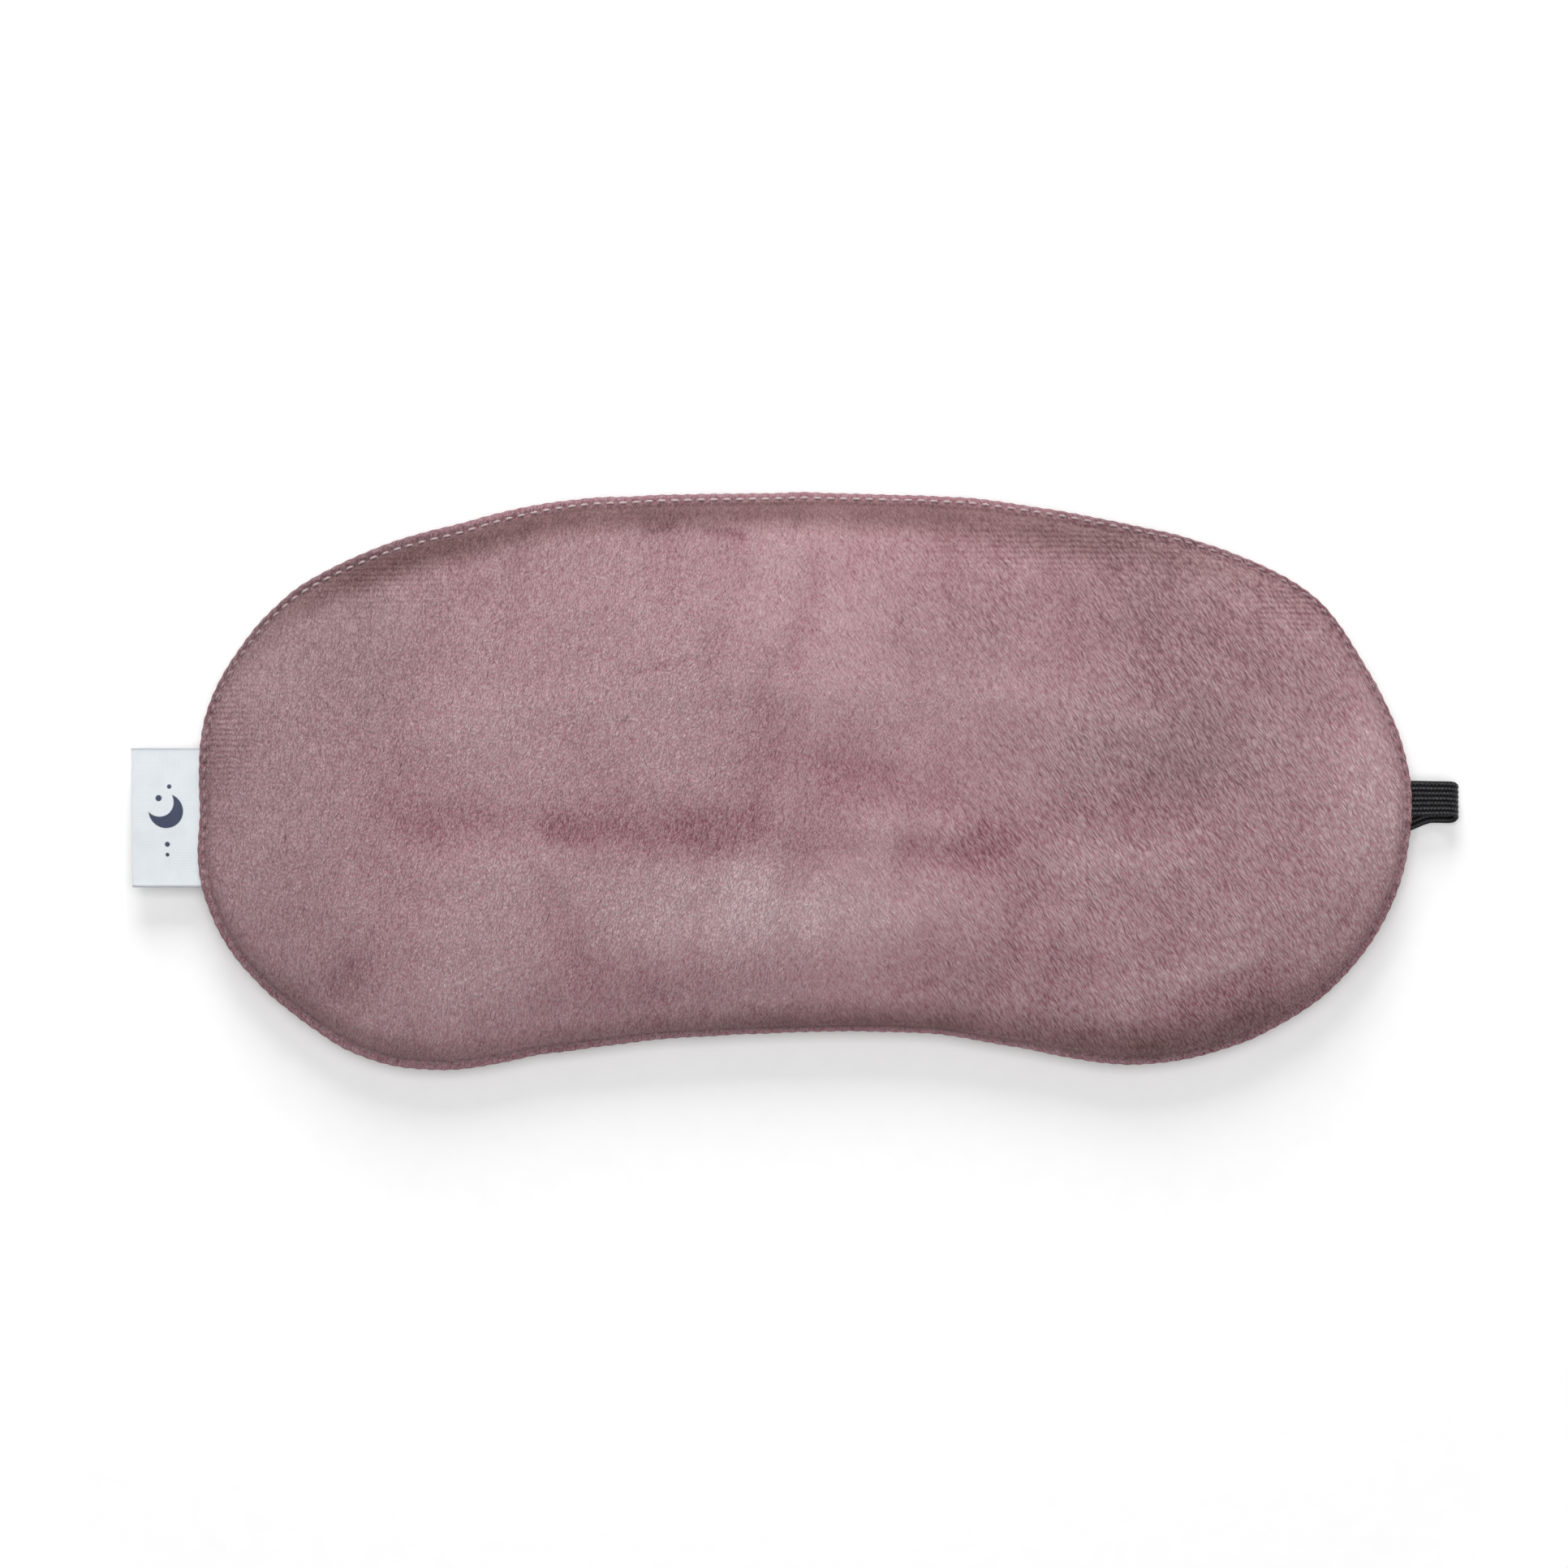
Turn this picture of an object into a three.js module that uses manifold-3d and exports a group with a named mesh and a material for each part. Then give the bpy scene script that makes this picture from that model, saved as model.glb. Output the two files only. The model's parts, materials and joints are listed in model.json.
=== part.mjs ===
// A weighted eye pillow: two plush panels sewn, turned and topstitched round a seed-filled cotton pouch,
// with a folded ribbon label in the left seam and a flat elastic head strap sewn into both end seams.
// Millimetres, +Z up. It lies front panel up, brow edge towards +Y, nose notch towards -Y.
import * as THREE from "three";
import { mergeVertices } from "three/addons/utils/BufferGeometryUtils.js";
import Module from "manifold-3d";

// Driving dimensions. The outline below spans 210 by 100.
const CROWN_HEIGHT = 16; // top of the front panel above the surface it lies on
const SEAM_HEIGHT = 5; // plane where the two panels meet
const LAYER_GAP = 0.3; // clearance between neighbouring pieces
const PLUSH = 1.8; // thickness of the plush, pile included
const LINER = 0.5; // thickness of the cotton pouch
const FLANGE = 1.8; // width of the flat topstitched edge
const FRONT_RUN = 34; // distance over which the front panel rises to its crown
const BACK_RUN = 7; // distance over which the back panel drops to its flat underside
const BULGE = 0.6; // exponent of the edge's roundness: 0.5 is an ellipse, 1 a parabola
const POUCH_INSET = 4.4; // edge of the cotton pouch, in from the outline
const POUCH_FLANGE = 1.2;
const FILL_INSET = 7; // edge of the seed filling, in from the outline
const THREAD_RADIUS = 0.2;
const THREAD_SIDES = 6;
const TOPSTITCH_INSET = 1.25;
const FOLD_X = 0; // line across the nose bridge where the pillow folds in half
const FOLD_AXIS_HEIGHT = CROWN_HEIGHT + 0.5; // the fold's axis lies just above the crown

// The folded label: reach is past the seam, and pivotOut is how far outside the seam it bends.
const LABEL = { width: 24.1, reach: 12, thickness: 0.6, centreY: -6.25, height: 5.35, pivotOut: 0.75 };
const LABEL_ROOT_GAP = 0.35; // between the label and its sewn-in tail, just over the other clearances
const LABEL_FOLD_STEPS = 4;
// The elastic strap, with its clearance in the plush at the sides and above and below.
const STRAP = { width: 6, thickness: 0.8, side: 0.5, above: 0.32, steps: 72 };
const TAIL = 3.5; // length of label and strap caught in the seam
const HALF_WIDTH = 105; // from the pillow's middle to its end seams
const WELD = 1e-4; // corners closer than this are one corner
const BEYOND = 200; // further out than anything reaches

// Outline of the sewn edge, anticlockwise from the middle of the left end, about the pillow's middle.
const OUTLINE = [
  [-105, 4], [-105, -6], [-104.9, -17], [-99.5, -30], [-89, -40.5], [-76, -48], [-62, -50], [-43, -47],
  [-22, -44.5], [0, -43.4], [20, -43.5], [36, -46], [57, -49], [72, -46.6], [88, -38.4],
  [98, -27.7], [103.6, -15.5], [105, -2.5], [103.2, 7], [98, 18.3], [88.3, 32], [73, 40],
  [52, 45.4], [27, 49.2], [-11.5, 50], [-45, 48.4], [-60, 45], [-75, 40.5], [-90, 32.3],
  [-100.5, 20], [-104.3, 11],
];
const OUTLINE_STEPS = 46;

// Middle of the elastic strap, from the right seam, round and back under the pillow in slack waves,
// then out below the label and up into the left seam.
const STRAP_ROUTE = [
  [101.5, -2.9, 5], [106.5, -2.9, 5], [110.4, -2.9, 4.95], [112.5, -2.9, 4.1], [113.1, -2.9, 2.7],
  [112.4, -2.9, 1.25], [110.3, -2.9, 0.5], [108.3, -3.05, 0.45], [104.5, -4.5, 0.45],
  [98, -7.6, 0.45], [87, -14, 0.45], [74, -18.5, 0.45], [61, -14.5, 0.45], [48, -4, 0.45],
  [35, 7, 0.45], [22, 11.5, 0.45], [9, 6.5, 0.45], [-4, -5, 0.45], [-17, -16, 0.45],
  [-30, -20.5, 0.45], [-43, -15.5, 0.45], [-56, -4.5, 0.45], [-68, 4, 0.45], [-80, 6.5, 0.45],
  [-90, 2.6, 0.45], [-98, -2.8, 0.45], [-103.4, -5.7, 0.45], [-106.6, -6.2, 0.45],
  [-108.3, -6.2, 0.6], [-109.7, -6.2, 1.3], [-110.1, -6.2, 2.4], [-109.5, -6.2, 3.65],
  [-107.6, -6.2, 4.32], [-104.5, -6.2, 4.35], [-101.5, -6.2, 4.35],
];

// The rings of a padded layer shrink towards a line along the pillow's middle.
const SPINE_Y = 2;
const SPINE_SHARE = 0.62; // length of that line as a share of the outline's
const PANEL_INSETS = [0, FLANGE, 2.8, POUCH_INSET, 5.6, FILL_INSET, FLANGE + BACK_RUN, 14, 22, 34];
const POUCH_INSETS = PANEL_INSETS.filter((inset) => inset >= POUCH_INSET);
const FILL_INSETS = PANEL_INSETS.filter((inset) => inset >= FILL_INSET);

const MATERIALS = {
  plush: new THREE.MeshStandardMaterial({ color: 0xa08084, roughness: 0.95, metalness: 0 }),
  cotton: new THREE.MeshStandardMaterial({ color: 0xe9e2d3, roughness: 0.9, metalness: 0 }),
  seed: new THREE.MeshStandardMaterial({ color: 0x7a5230, roughness: 0.6, metalness: 0 }),
  thread: new THREE.MeshStandardMaterial({ color: 0xcfa9ab, roughness: 0.6, metalness: 0 }),
  ribbon: new THREE.MeshStandardMaterial({ color: 0xe3e8ec, roughness: 0.55, metalness: 0 }),
  elastic: new THREE.MeshStandardMaterial({ color: 0x252527, roughness: 0.7, metalness: 0 }),
};

const manifold = await Module();
manifold.setup();

// A three.js geometry as a closed solid that can be cut and joined.
function toSolid(geometry) {
  const bare = geometry.clone();
  bare.deleteAttribute("normal");
  bare.deleteAttribute("uv");
  const merged = mergeVertices(bare, WELD);
  const mesh = new manifold.Mesh({
    numProp: 3,
    vertProperties: merged.attributes.position.array,
    triVerts: new Uint32Array(merged.index.array),
  });
  return new manifold.Manifold(mesh);
}

function toGeometry(solid) {
  const mesh = solid.getMesh();
  const geometry = new THREE.BufferGeometry();
  geometry.setAttribute("position", new THREE.BufferAttribute(mesh.vertProperties, 3));
  geometry.setIndex(new THREE.BufferAttribute(mesh.triVerts, 1));
  geometry.computeVertexNormals();
  return geometry;
}

function boxSolid(low, high) {
  const size = new THREE.Vector3(...high).sub(new THREE.Vector3(...low));
  const middle = new THREE.Vector3(...high).add(new THREE.Vector3(...low)).divideScalar(2);
  return toSolid(new THREE.BoxGeometry(size.x, size.y, size.z).translate(middle.x, middle.y, middle.z));
}

// The outline as evenly spaced points on a smooth closed curve.
function outlinePoints() {
  const anchors = OUTLINE.map(([x, y]) => new THREE.Vector3(x, y, 0));
  const curve = new THREE.CatmullRomCurve3(anchors, true, "centripetal");
  return curve.getSpacedPoints(OUTLINE_STEPS).slice(0, OUTLINE_STEPS);
}
const edge = outlinePoints();

// One ring round the pillow at a distance in from the outline, at a height.
function ring(inset, height) {
  return edge.map((point) => {
    const spine = new THREE.Vector3(point.x * SPINE_SHARE, SPINE_Y, 0);
    const onRing = point.clone().lerp(spine, inset / point.distanceTo(spine));
    return onRing.setZ(height);
  });
}

// The closed solid through rings in order. Open ends are capped with a fan; a looped one is a tube.
function ringSolid(rings, looped) {
  const count = OUTLINE_STEPS;
  const vertices = rings.flat();
  const triangles = [];
  const spans = looped ? rings.length : rings.length - 1;
  for (let r = 0; r < spans; r++) {
    const inner = r * count;
    const outer = ((r + 1) % rings.length) * count;
    for (let i = 0; i < count; i++) {
      const next = (i + 1) % count;
      triangles.push(inner + i, outer + i, outer + next, inner + i, outer + next, inner + next);
    }
  }
  if (!looped) {
    const last = (rings.length - 1) * count;
    const top = vertices.push(new THREE.Vector3(FOLD_X, SPINE_Y, rings[0][0].z)) - 1;
    const bottom = vertices.push(new THREE.Vector3(FOLD_X, SPINE_Y, rings.at(-1)[0].z)) - 1;
    for (let i = 0; i < count; i++) {
      const next = (i + 1) % count;
      triangles.push(top, i, next, bottom, last + next, last + i);
    }
  }
  const geometry = new THREE.BufferGeometry().setFromPoints(vertices);
  geometry.setIndex(triangles);
  return toSolid(geometry);
}

// A layer of the pillow between an upper and a lower height, both functions of the inset.
function layerSolid(insets, upper, lower) {
  const inwards = [...insets].reverse();
  const above = inwards.map((inset) => ring(inset, upper(inset)));
  const below = insets.map((inset) => ring(inset, lower(inset)));
  return ringSolid([...above, ...below], false);
}

// Share of the full rise that a padded edge has reached, 0 at its flange and 1 at its crown.
function swell(inset, run) {
  const along = THREE.MathUtils.clamp((inset - FLANGE) / run, 0, 1);
  return Math.pow(1 - (1 - along) ** 2, BULGE);
}

// Heights of the front and back panels, a depth below their outer face.
const DEPTH_SHIFT = 0.8; // a deeper layer's edge starts further in by this share of its depth

function frontHeight(inset, depth) {
  const low = SEAM_HEIGHT + LAYER_GAP / 2 + PLUSH;
  return low + (CROWN_HEIGHT - low) * swell(inset - DEPTH_SHIFT * depth, FRONT_RUN) - depth;
}

function backHeight(inset, depth) {
  const high = SEAM_HEIGHT - LAYER_GAP / 2 - PLUSH;
  return high * (1 - swell(inset - DEPTH_SHIFT * depth, BACK_RUN)) + depth;
}

// Height of a pouch face: flat at its own seam, then on the surface that it lies against.
function pouchHeight(inset, seamHeight, surface) {
  const from = POUCH_INSET + POUCH_FLANGE;
  const share = THREE.MathUtils.smoothstep(inset, from, from + POUCH_FLANGE * 2);
  return THREE.MathUtils.lerp(seamHeight, surface, share);
}

function frontPanel() {
  return layerSolid(PANEL_INSETS, (d) => frontHeight(d, 0), (d) => frontHeight(d, PLUSH));
}

function backPanel() {
  return layerSolid(PANEL_INSETS, (d) => backHeight(d, PLUSH), (d) => backHeight(d, 0));
}

const POUCH_DEPTH = PLUSH + LAYER_GAP;

// The pouch's inner faces, which hold the filling.
function pouchCeiling(inset) {
  return pouchHeight(inset, SEAM_HEIGHT + LAYER_GAP / 2, frontHeight(inset, POUCH_DEPTH + LINER));
}

function pouchFloor(inset) {
  return pouchHeight(inset, SEAM_HEIGHT - LAYER_GAP / 2, backHeight(inset, POUCH_DEPTH + LINER));
}

function pouchFront() {
  return layerSolid(POUCH_INSETS, (d) => pouchCeiling(d) + LINER, pouchCeiling);
}

function pouchBack() {
  return layerSolid(POUCH_INSETS, pouchFloor, (d) => pouchFloor(d) - LINER);
}

function seedFill() {
  return layerSolid(FILL_INSETS, (d) => pouchCeiling(d) - LAYER_GAP, (d) => pouchFloor(d) + LAYER_GAP);
}

// A line of stitching as one round thread that follows the outline.
function threadLoop(inset, height) {
  const rings = [];
  for (let k = 0; k < THREAD_SIDES; k++) {
    const angle = (k / THREAD_SIDES) * 2 * Math.PI;
    rings.push(ring(inset - THREAD_RADIUS * Math.sin(angle), height + THREAD_RADIUS * Math.cos(angle)));
  }
  return ringSolid(rings, true);
}

// The strap's route. Its steps follow the route's own points, which stand closer in the turns, and its
// width starts out level and is carried along without twist.
class StrapCurve extends THREE.CatmullRomCurve3 {
  getUtoTmapping(share) {
    return share;
  }

  computeFrenetFrames(segments) {
    const frames = { tangents: [], normals: [], binormals: [] };
    const across = new THREE.Vector3(0, 1, 0);
    for (let i = 0; i <= segments; i++) {
      const tangent = this.getTangentAt(i / segments);
      across.addScaledVector(tangent, -across.dot(tangent)).normalize();
      frames.tangents.push(tangent);
      frames.binormals.push(across.clone());
      frames.normals.push(across.clone().cross(tangent));
    }
    return frames;
  }
}

function sweepStrap(width, thickness) {
  const points = STRAP_ROUTE.map((point) => new THREE.Vector3(...point));
  const route = new StrapCurve(points, false, "centripetal");
  const section = new THREE.Shape();
  section.moveTo(-thickness / 2, -width / 2);
  section.lineTo(thickness / 2, -width / 2);
  section.lineTo(thickness / 2, width / 2);
  section.lineTo(-thickness / 2, width / 2);
  section.closePath();
  return toSolid(new THREE.ExtrudeGeometry(section, { steps: STRAP.steps, extrudePath: route }));
}

// The ribbon label outside the seam, about its pivot: a folded tab with a round outer edge.
function labelGeometry() {
  const radius = LABEL.thickness / 2;
  const inner = LABEL.pivotOut - LABEL_ROOT_GAP;
  const outer = LABEL.pivotOut - LABEL.reach + radius;
  const section = new THREE.Shape();
  section.moveTo(inner, -radius);
  section.lineTo(inner, radius);
  section.lineTo(outer, radius);
  section.absarc(outer, 0, radius, Math.PI / 2, Math.PI * 1.5, false);
  section.closePath();
  const tab = new THREE.ExtrudeGeometry(section, {
    depth: LABEL.width,
    bevelEnabled: false,
    curveSegments: LABEL_FOLD_STEPS,
  });
  return tab.rotateX(Math.PI / 2).translate(0, LABEL.width / 2, 0);
}

// A box round the label's sewn-in tail, larger on every side by a margin.
function labelTail(margin) {
  const halfWidth = LABEL.width / 2 + margin;
  const halfThickness = LABEL.thickness / 2 + margin;
  const low = [-HALF_WIDTH - margin, LABEL.centreY - halfWidth, LABEL.height - halfThickness];
  const high = [-HALF_WIDTH + TAIL + margin, LABEL.centreY + halfWidth, LABEL.height + halfThickness];
  return boxSolid(low, high);
}

// One side of the fold line, with half the clearance taken off.
function sideOf(solid, side) {
  const near = FOLD_X + (side * LAYER_GAP) / 2;
  const low = [Math.min(near, side * BEYOND), -BEYOND, -BEYOND];
  const high = [Math.max(near, side * BEYOND), BEYOND, BEYOND];
  return solid.intersect(boxSolid(low, high));
}

function addPiece(group, name, geometry, material) {
  const piece = new THREE.Mesh(geometry, material);
  piece.name = name;
  group.add(piece);
}

function buildPillow() {
  const strapSpace = sweepStrap(STRAP.width + 2 * STRAP.side, STRAP.thickness + 2 * STRAP.above);
  const topThread = SEAM_HEIGHT + LAYER_GAP / 2 + PLUSH + LAYER_GAP / 2 + THREAD_RADIUS;
  const bottomThread = 2 * SEAM_HEIGHT - topThread;
  const pouchThread = SEAM_HEIGHT + LAYER_GAP * 2 + LINER + THREAD_RADIUS;
  const crossing = [
    ["front_panel", frontPanel().subtract(strapSpace).subtract(labelTail(LAYER_GAP)), MATERIALS.plush],
    ["back_panel", backPanel().subtract(strapSpace).subtract(labelTail(LAYER_GAP)), MATERIALS.plush],
    ["pouch_front", pouchFront(), MATERIALS.cotton],
    ["pouch_back", pouchBack(), MATERIALS.cotton],
    ["seed_fill", seedFill(), MATERIALS.seed],
    ["topstitch_thread", threadLoop(TOPSTITCH_INSET, topThread), MATERIALS.thread],
    ["bobbin_thread", threadLoop(TOPSTITCH_INSET, bottomThread), MATERIALS.thread],
    ["pouch_thread", threadLoop(POUCH_INSET + POUCH_FLANGE / 2, pouchThread), MATERIALS.cotton],
    ["strap", sweepStrap(STRAP.width, STRAP.thickness), MATERIALS.elastic],
  ];
  const leftHalf = new THREE.Group();
  const rightHalf = new THREE.Group();
  rightHalf.position.set(FOLD_X, 0, FOLD_AXIS_HEIGHT);
  for (const [name, solid, material] of crossing) {
    addPiece(leftHalf, `${name}_left`, toGeometry(sideOf(solid, -1)), material);
    const right = toGeometry(sideOf(solid, 1)).translate(-FOLD_X, 0, -FOLD_AXIS_HEIGHT);
    addPiece(rightHalf, `${name}_right`, right, material);
  }
  addPiece(leftHalf, "label_tail", toGeometry(labelTail(0)), MATERIALS.ribbon);

  const label = new THREE.Group();
  label.position.set(-HALF_WIDTH - LABEL.pivotOut, LABEL.centreY, LABEL.height);
  addPiece(label, "label", labelGeometry(), MATERIALS.ribbon);
  leftHalf.add(label);

  // The frame's origin is under the middle of the pillow and its label together.
  const pillow = new THREE.Group();
  pillow.position.x = LABEL.reach / 2;
  pillow.add(leftHalf, rightHalf);
  const whole = new THREE.Group();
  whole.add(pillow);
  return whole;
}

export default buildPillow();
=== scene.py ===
"""Looks of a seed-filled plush eye pillow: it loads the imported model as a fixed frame, stands detailed soft
pieces in for its plain ones, and lights it on a pale floor. Lengths are in millimetres about the pillow's
middle until place() turns them into metres in the row frame."""
import json
import math

import bpy
import numpy as np
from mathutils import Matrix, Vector
from mathutils.kdtree import KDTree


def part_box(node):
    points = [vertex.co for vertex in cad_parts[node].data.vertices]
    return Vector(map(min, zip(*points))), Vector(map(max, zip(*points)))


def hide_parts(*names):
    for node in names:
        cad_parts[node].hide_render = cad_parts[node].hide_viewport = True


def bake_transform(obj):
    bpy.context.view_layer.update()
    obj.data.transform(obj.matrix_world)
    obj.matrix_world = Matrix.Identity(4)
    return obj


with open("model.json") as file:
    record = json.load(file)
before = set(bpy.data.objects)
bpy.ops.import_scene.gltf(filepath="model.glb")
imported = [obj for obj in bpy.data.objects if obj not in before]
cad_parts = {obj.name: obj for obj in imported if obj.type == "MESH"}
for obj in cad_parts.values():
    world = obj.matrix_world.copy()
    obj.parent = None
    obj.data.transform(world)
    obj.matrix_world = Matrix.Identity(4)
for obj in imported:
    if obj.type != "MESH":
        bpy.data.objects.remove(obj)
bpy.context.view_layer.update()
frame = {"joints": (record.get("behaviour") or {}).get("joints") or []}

MM = 0.001
FOLD = next(j for j in frame["joints"] if j["name"] == "nose_bridge_fold")
MIDDLE = np.array([FOLD["pos_m"][0], 0.0, 0.0])
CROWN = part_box("front_panel_left")[1][2] / MM
SEAM = 5.0
PLUSH = 1.8
FLANGE = 1.8
FRONT_RUN = 34.0
BACK_RUN = 7.0
HALF_WIDTH = 105.0

# Outline of the sewn edge, anticlockwise from the middle of the left end.
OUTLINE = [
    (-105, 4), (-105, -6), (-104.9, -17), (-99.5, -30), (-89, -40.5), (-76, -48), (-62, -50), (-43, -47),
    (-22, -44.5), (0, -43.4), (20, -43.5), (36, -46), (57, -49), (72, -46.6), (88, -38.4),
    (98, -27.7), (103.6, -15.5), (105, -2.5), (103.2, 7), (98, 18.3), (88.3, 32), (73, 40),
    (52, 45.4), (27, 49.2), (-11.5, 50), (-45, 48.4), (-60, 45), (-75, 40.5), (-90, 32.3),
    (-100.5, 20), (-104.3, 11),
]
LEFT_TIP, RIGHT_TIP = 1, 17  # the outline's anchors at the two ends
SPINE_Y = 2.0
SPINE_SHARE = 0.62

# Middle of the elastic strap, from the right seam, round and back under the pillow, and up behind the label.
STRAP_ROUTE = [
    (101.5, -2.9, 5), (106.5, -2.9, 5), (110.4, -2.9, 4.95), (112.5, -2.9, 4.1), (113.1, -2.9, 2.7),
    (112.4, -2.9, 1.25), (110.3, -2.9, 0.5), (108.3, -3.05, 0.45), (104.5, -4.5, 0.45),
    (98, -7.6, 0.45), (87, -14, 0.45), (74, -18.5, 0.45), (61, -14.5, 0.45), (48, -4, 0.45),
    (35, 7, 0.45), (22, 11.5, 0.45), (9, 6.5, 0.45), (-4, -5, 0.45), (-17, -16, 0.45),
    (-30, -20.5, 0.45), (-43, -15.5, 0.45), (-56, -4.5, 0.45), (-68, 4, 0.45), (-80, 6.5, 0.45),
    (-90, 2.6, 0.45), (-98, -2.8, 0.45), (-103.4, -5.7, 0.45), (-106.6, -6.2, 0.45),
    (-108.3, -6.2, 0.6), (-109.7, -6.2, 1.3), (-110.1, -6.2, 2.4), (-109.5, -6.2, 3.65),
    (-107.6, -6.2, 4.32), (-104.5, -6.2, 4.35), (-101.5, -6.2, 4.35),
]
STRAP_WIDTH, STRAP_THICKNESS, STRAP_RIBS = 6.0, 0.8, 7


# ---------------------------------------------------------------- curves, noise and meshes

def place(points):
    """Millimetres about the pillow's middle, as metres in the row frame."""
    return np.asarray(points, float) * MM + MIDDLE


def spline(points, closed, per_span):
    """Samples of the centripetal Catmull-Rom curve through points, the same number in each span."""
    p = np.asarray(points, float)
    if closed:
        p = np.vstack([p[-1], p, p[0], p[1]])
    else:
        p = np.vstack([2 * p[0] - p[1], p, 2 * p[-1] - p[-2]])
    t = np.arange(per_span)[:, None] / per_span
    samples = []
    for a, b, c, d in zip(p, p[1:], p[2:], p[3:]):
        ab, bc, cd = (max(np.linalg.norm(v), 1e-6) ** 0.5 for v in (b - a, c - b, d - c))
        start = ((b - a) / ab - (c - a) / (ab + bc) + (c - b) / bc) * bc
        stop = ((c - b) / bc - (d - b) / (bc + cd) + (d - c) / cd) * bc
        cubic = 2 * b - 2 * c + start + stop
        square = -3 * b + 3 * c - 2 * start - stop
        samples.append(((cubic * t + square) * t + start) * t + b)
    samples = np.vstack(samples)
    return samples if closed else np.vstack([samples, p[-2]])


def along(line):
    """Distance along a polyline at each of its points."""
    return np.concatenate([[0], np.cumsum(np.linalg.norm(np.diff(line, axis=0), axis=1))])


def even(line, count):
    """count + 1 points evenly spaced along a polyline."""
    s = along(line)
    at = np.linspace(0, s[-1], count + 1)
    return np.column_stack([np.interp(at, s, line[:, k]) for k in range(line.shape[1])])


def smooth(low, high, x):
    t = np.clip((x - low) / (high - low), 0, 1)
    return t * t * (3 - 2 * t)


def cloud(x, y, size, seed):
    """Smooth noise from -1 to 1 with features about size across."""
    cells = 256
    table = np.random.RandomState(seed).uniform(-1, 1, (cells, cells))
    turn = 0.4 + seed
    u = (x * math.cos(turn) - y * math.sin(turn)) / size + 1000
    v = (x * math.sin(turn) + y * math.cos(turn)) / size + 1000
    i, j = np.floor(u).astype(int), np.floor(v).astype(int)
    fu, fv = smooth(0, 1, u - i), smooth(0, 1, v - j)
    i0, i1, j0, j1 = i % cells, (i + 1) % cells, j % cells, (j + 1) % cells
    low = table[i0, j0] * (1 - fu) + table[i1, j0] * fu
    high = table[i0, j1] * (1 - fu) + table[i1, j1] * fu
    return low * (1 - fv) + high * fv


def new_mesh(name, points, faces, rest=None, **values):
    """A smooth mesh object from millimetre points. rest and values become point attributes."""
    mesh = bpy.data.meshes.new(name)
    mesh.from_pydata(place(points).tolist(), [], [list(f) for f in faces])
    mesh.shade_smooth()
    rest = points if rest is None else rest
    mesh.attributes.new("rest", "FLOAT_VECTOR", "POINT").data.foreach_set("vector", np.ravel(rest))
    for key, value in values.items():
        mesh.attributes.new(key, "FLOAT", "POINT").data.foreach_set("value", np.ravel(value))
    piece = bpy.data.objects.new(name, mesh)
    bpy.context.collection.objects.link(piece)
    return piece


# ---------------------------------------------------------------- the outline

def half_outline(first, last, count):
    """Evenly spaced points from one anchor of the outline to another, without the last."""
    per_span = 40
    whole = spline(OUTLINE, True, per_span)
    stop = last if last > first else last + len(OUTLINE)
    picked = np.arange(first * per_span, stop * per_span + 1) % len(whole)
    return even(whole[picked], count)[:-1]


def outline(count):
    """The outline as count points from the left tip, anticlockwise, count / 2 on each side."""
    lower = half_outline(LEFT_TIP, RIGHT_TIP, count // 2)
    upper = half_outline(RIGHT_TIP, LEFT_TIP, count // 2)
    return np.vstack([lower, upper])


EDGE = outline(2080)
EDGE_AHEAD = np.roll(EDGE, -1, axis=0)
EDGE_S = along(np.vstack([EDGE, EDGE[:1]]))
EDGE_LENGTH = EDGE_S[-1]


def edge_place(x, y):
    """Distance in from the outline, place along it, and the outward direction there, for each point."""
    distance, place_along, outward = (np.empty(len(x)), np.empty(len(x)), np.empty((len(x), 2)))
    points = np.column_stack([x, y])
    for start in range(0, len(x), 4000):
        p = points[start:start + 4000]
        near = np.argmin(((p[:, None, :] - EDGE[None, ::8, :]) ** 2).sum(2), axis=1) * 8
        window = (near[:, None] + np.arange(-8, 9)) % len(EDGE)
        a, b = EDGE[window], EDGE_AHEAD[window]
        ab = b - a
        t = np.clip(((p[:, None] - a) * ab).sum(2) / (ab ** 2).sum(2), 0, 1)
        gap = np.linalg.norm(p[:, None] - (a + ab * t[..., None]), axis=2)
        best = np.argmin(gap, axis=1)
        rows = np.arange(len(p))
        chosen, step = window[rows, best], t[rows, best]
        tangent = ab[rows, best] / np.linalg.norm(ab[rows, best], axis=1)[:, None]
        distance[start:start + 4000] = gap[rows, best]
        place_along[start:start + 4000] = EDGE_S[chosen] + step * (EDGE_S[chosen + 1] - EDGE_S[chosen])
        outward[start:start + 4000] = np.column_stack([tangent[:, 1], -tangent[:, 0]])
    return distance, place_along, outward


def edge_s(x, y):
    """Place along the outline nearest to one point."""
    return edge_place(np.array([x], float), np.array([y], float))[1][0]


def round_edge(table, s):
    """Values round the outline, smoothly between rows of (x, y, value, ...) beside it."""
    at = np.array([edge_s(row[0], row[1]) for row in table])
    order = np.argsort(at)
    at = at[order]
    at = np.concatenate([at - EDGE_LENGTH, at, at + EDGE_LENGTH])
    columns = np.array([row[2:] for row in table], float)[order]
    return [np.interp(s, at, np.tile(column, 3)) for column in columns.T]


# ---------------------------------------------------------------- the camera

FRAME_WIDTH = 272.0
LENS, SENSOR = 85.0, 36.0
VIEW_CENTRE = (-3.9, -0.4)


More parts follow.
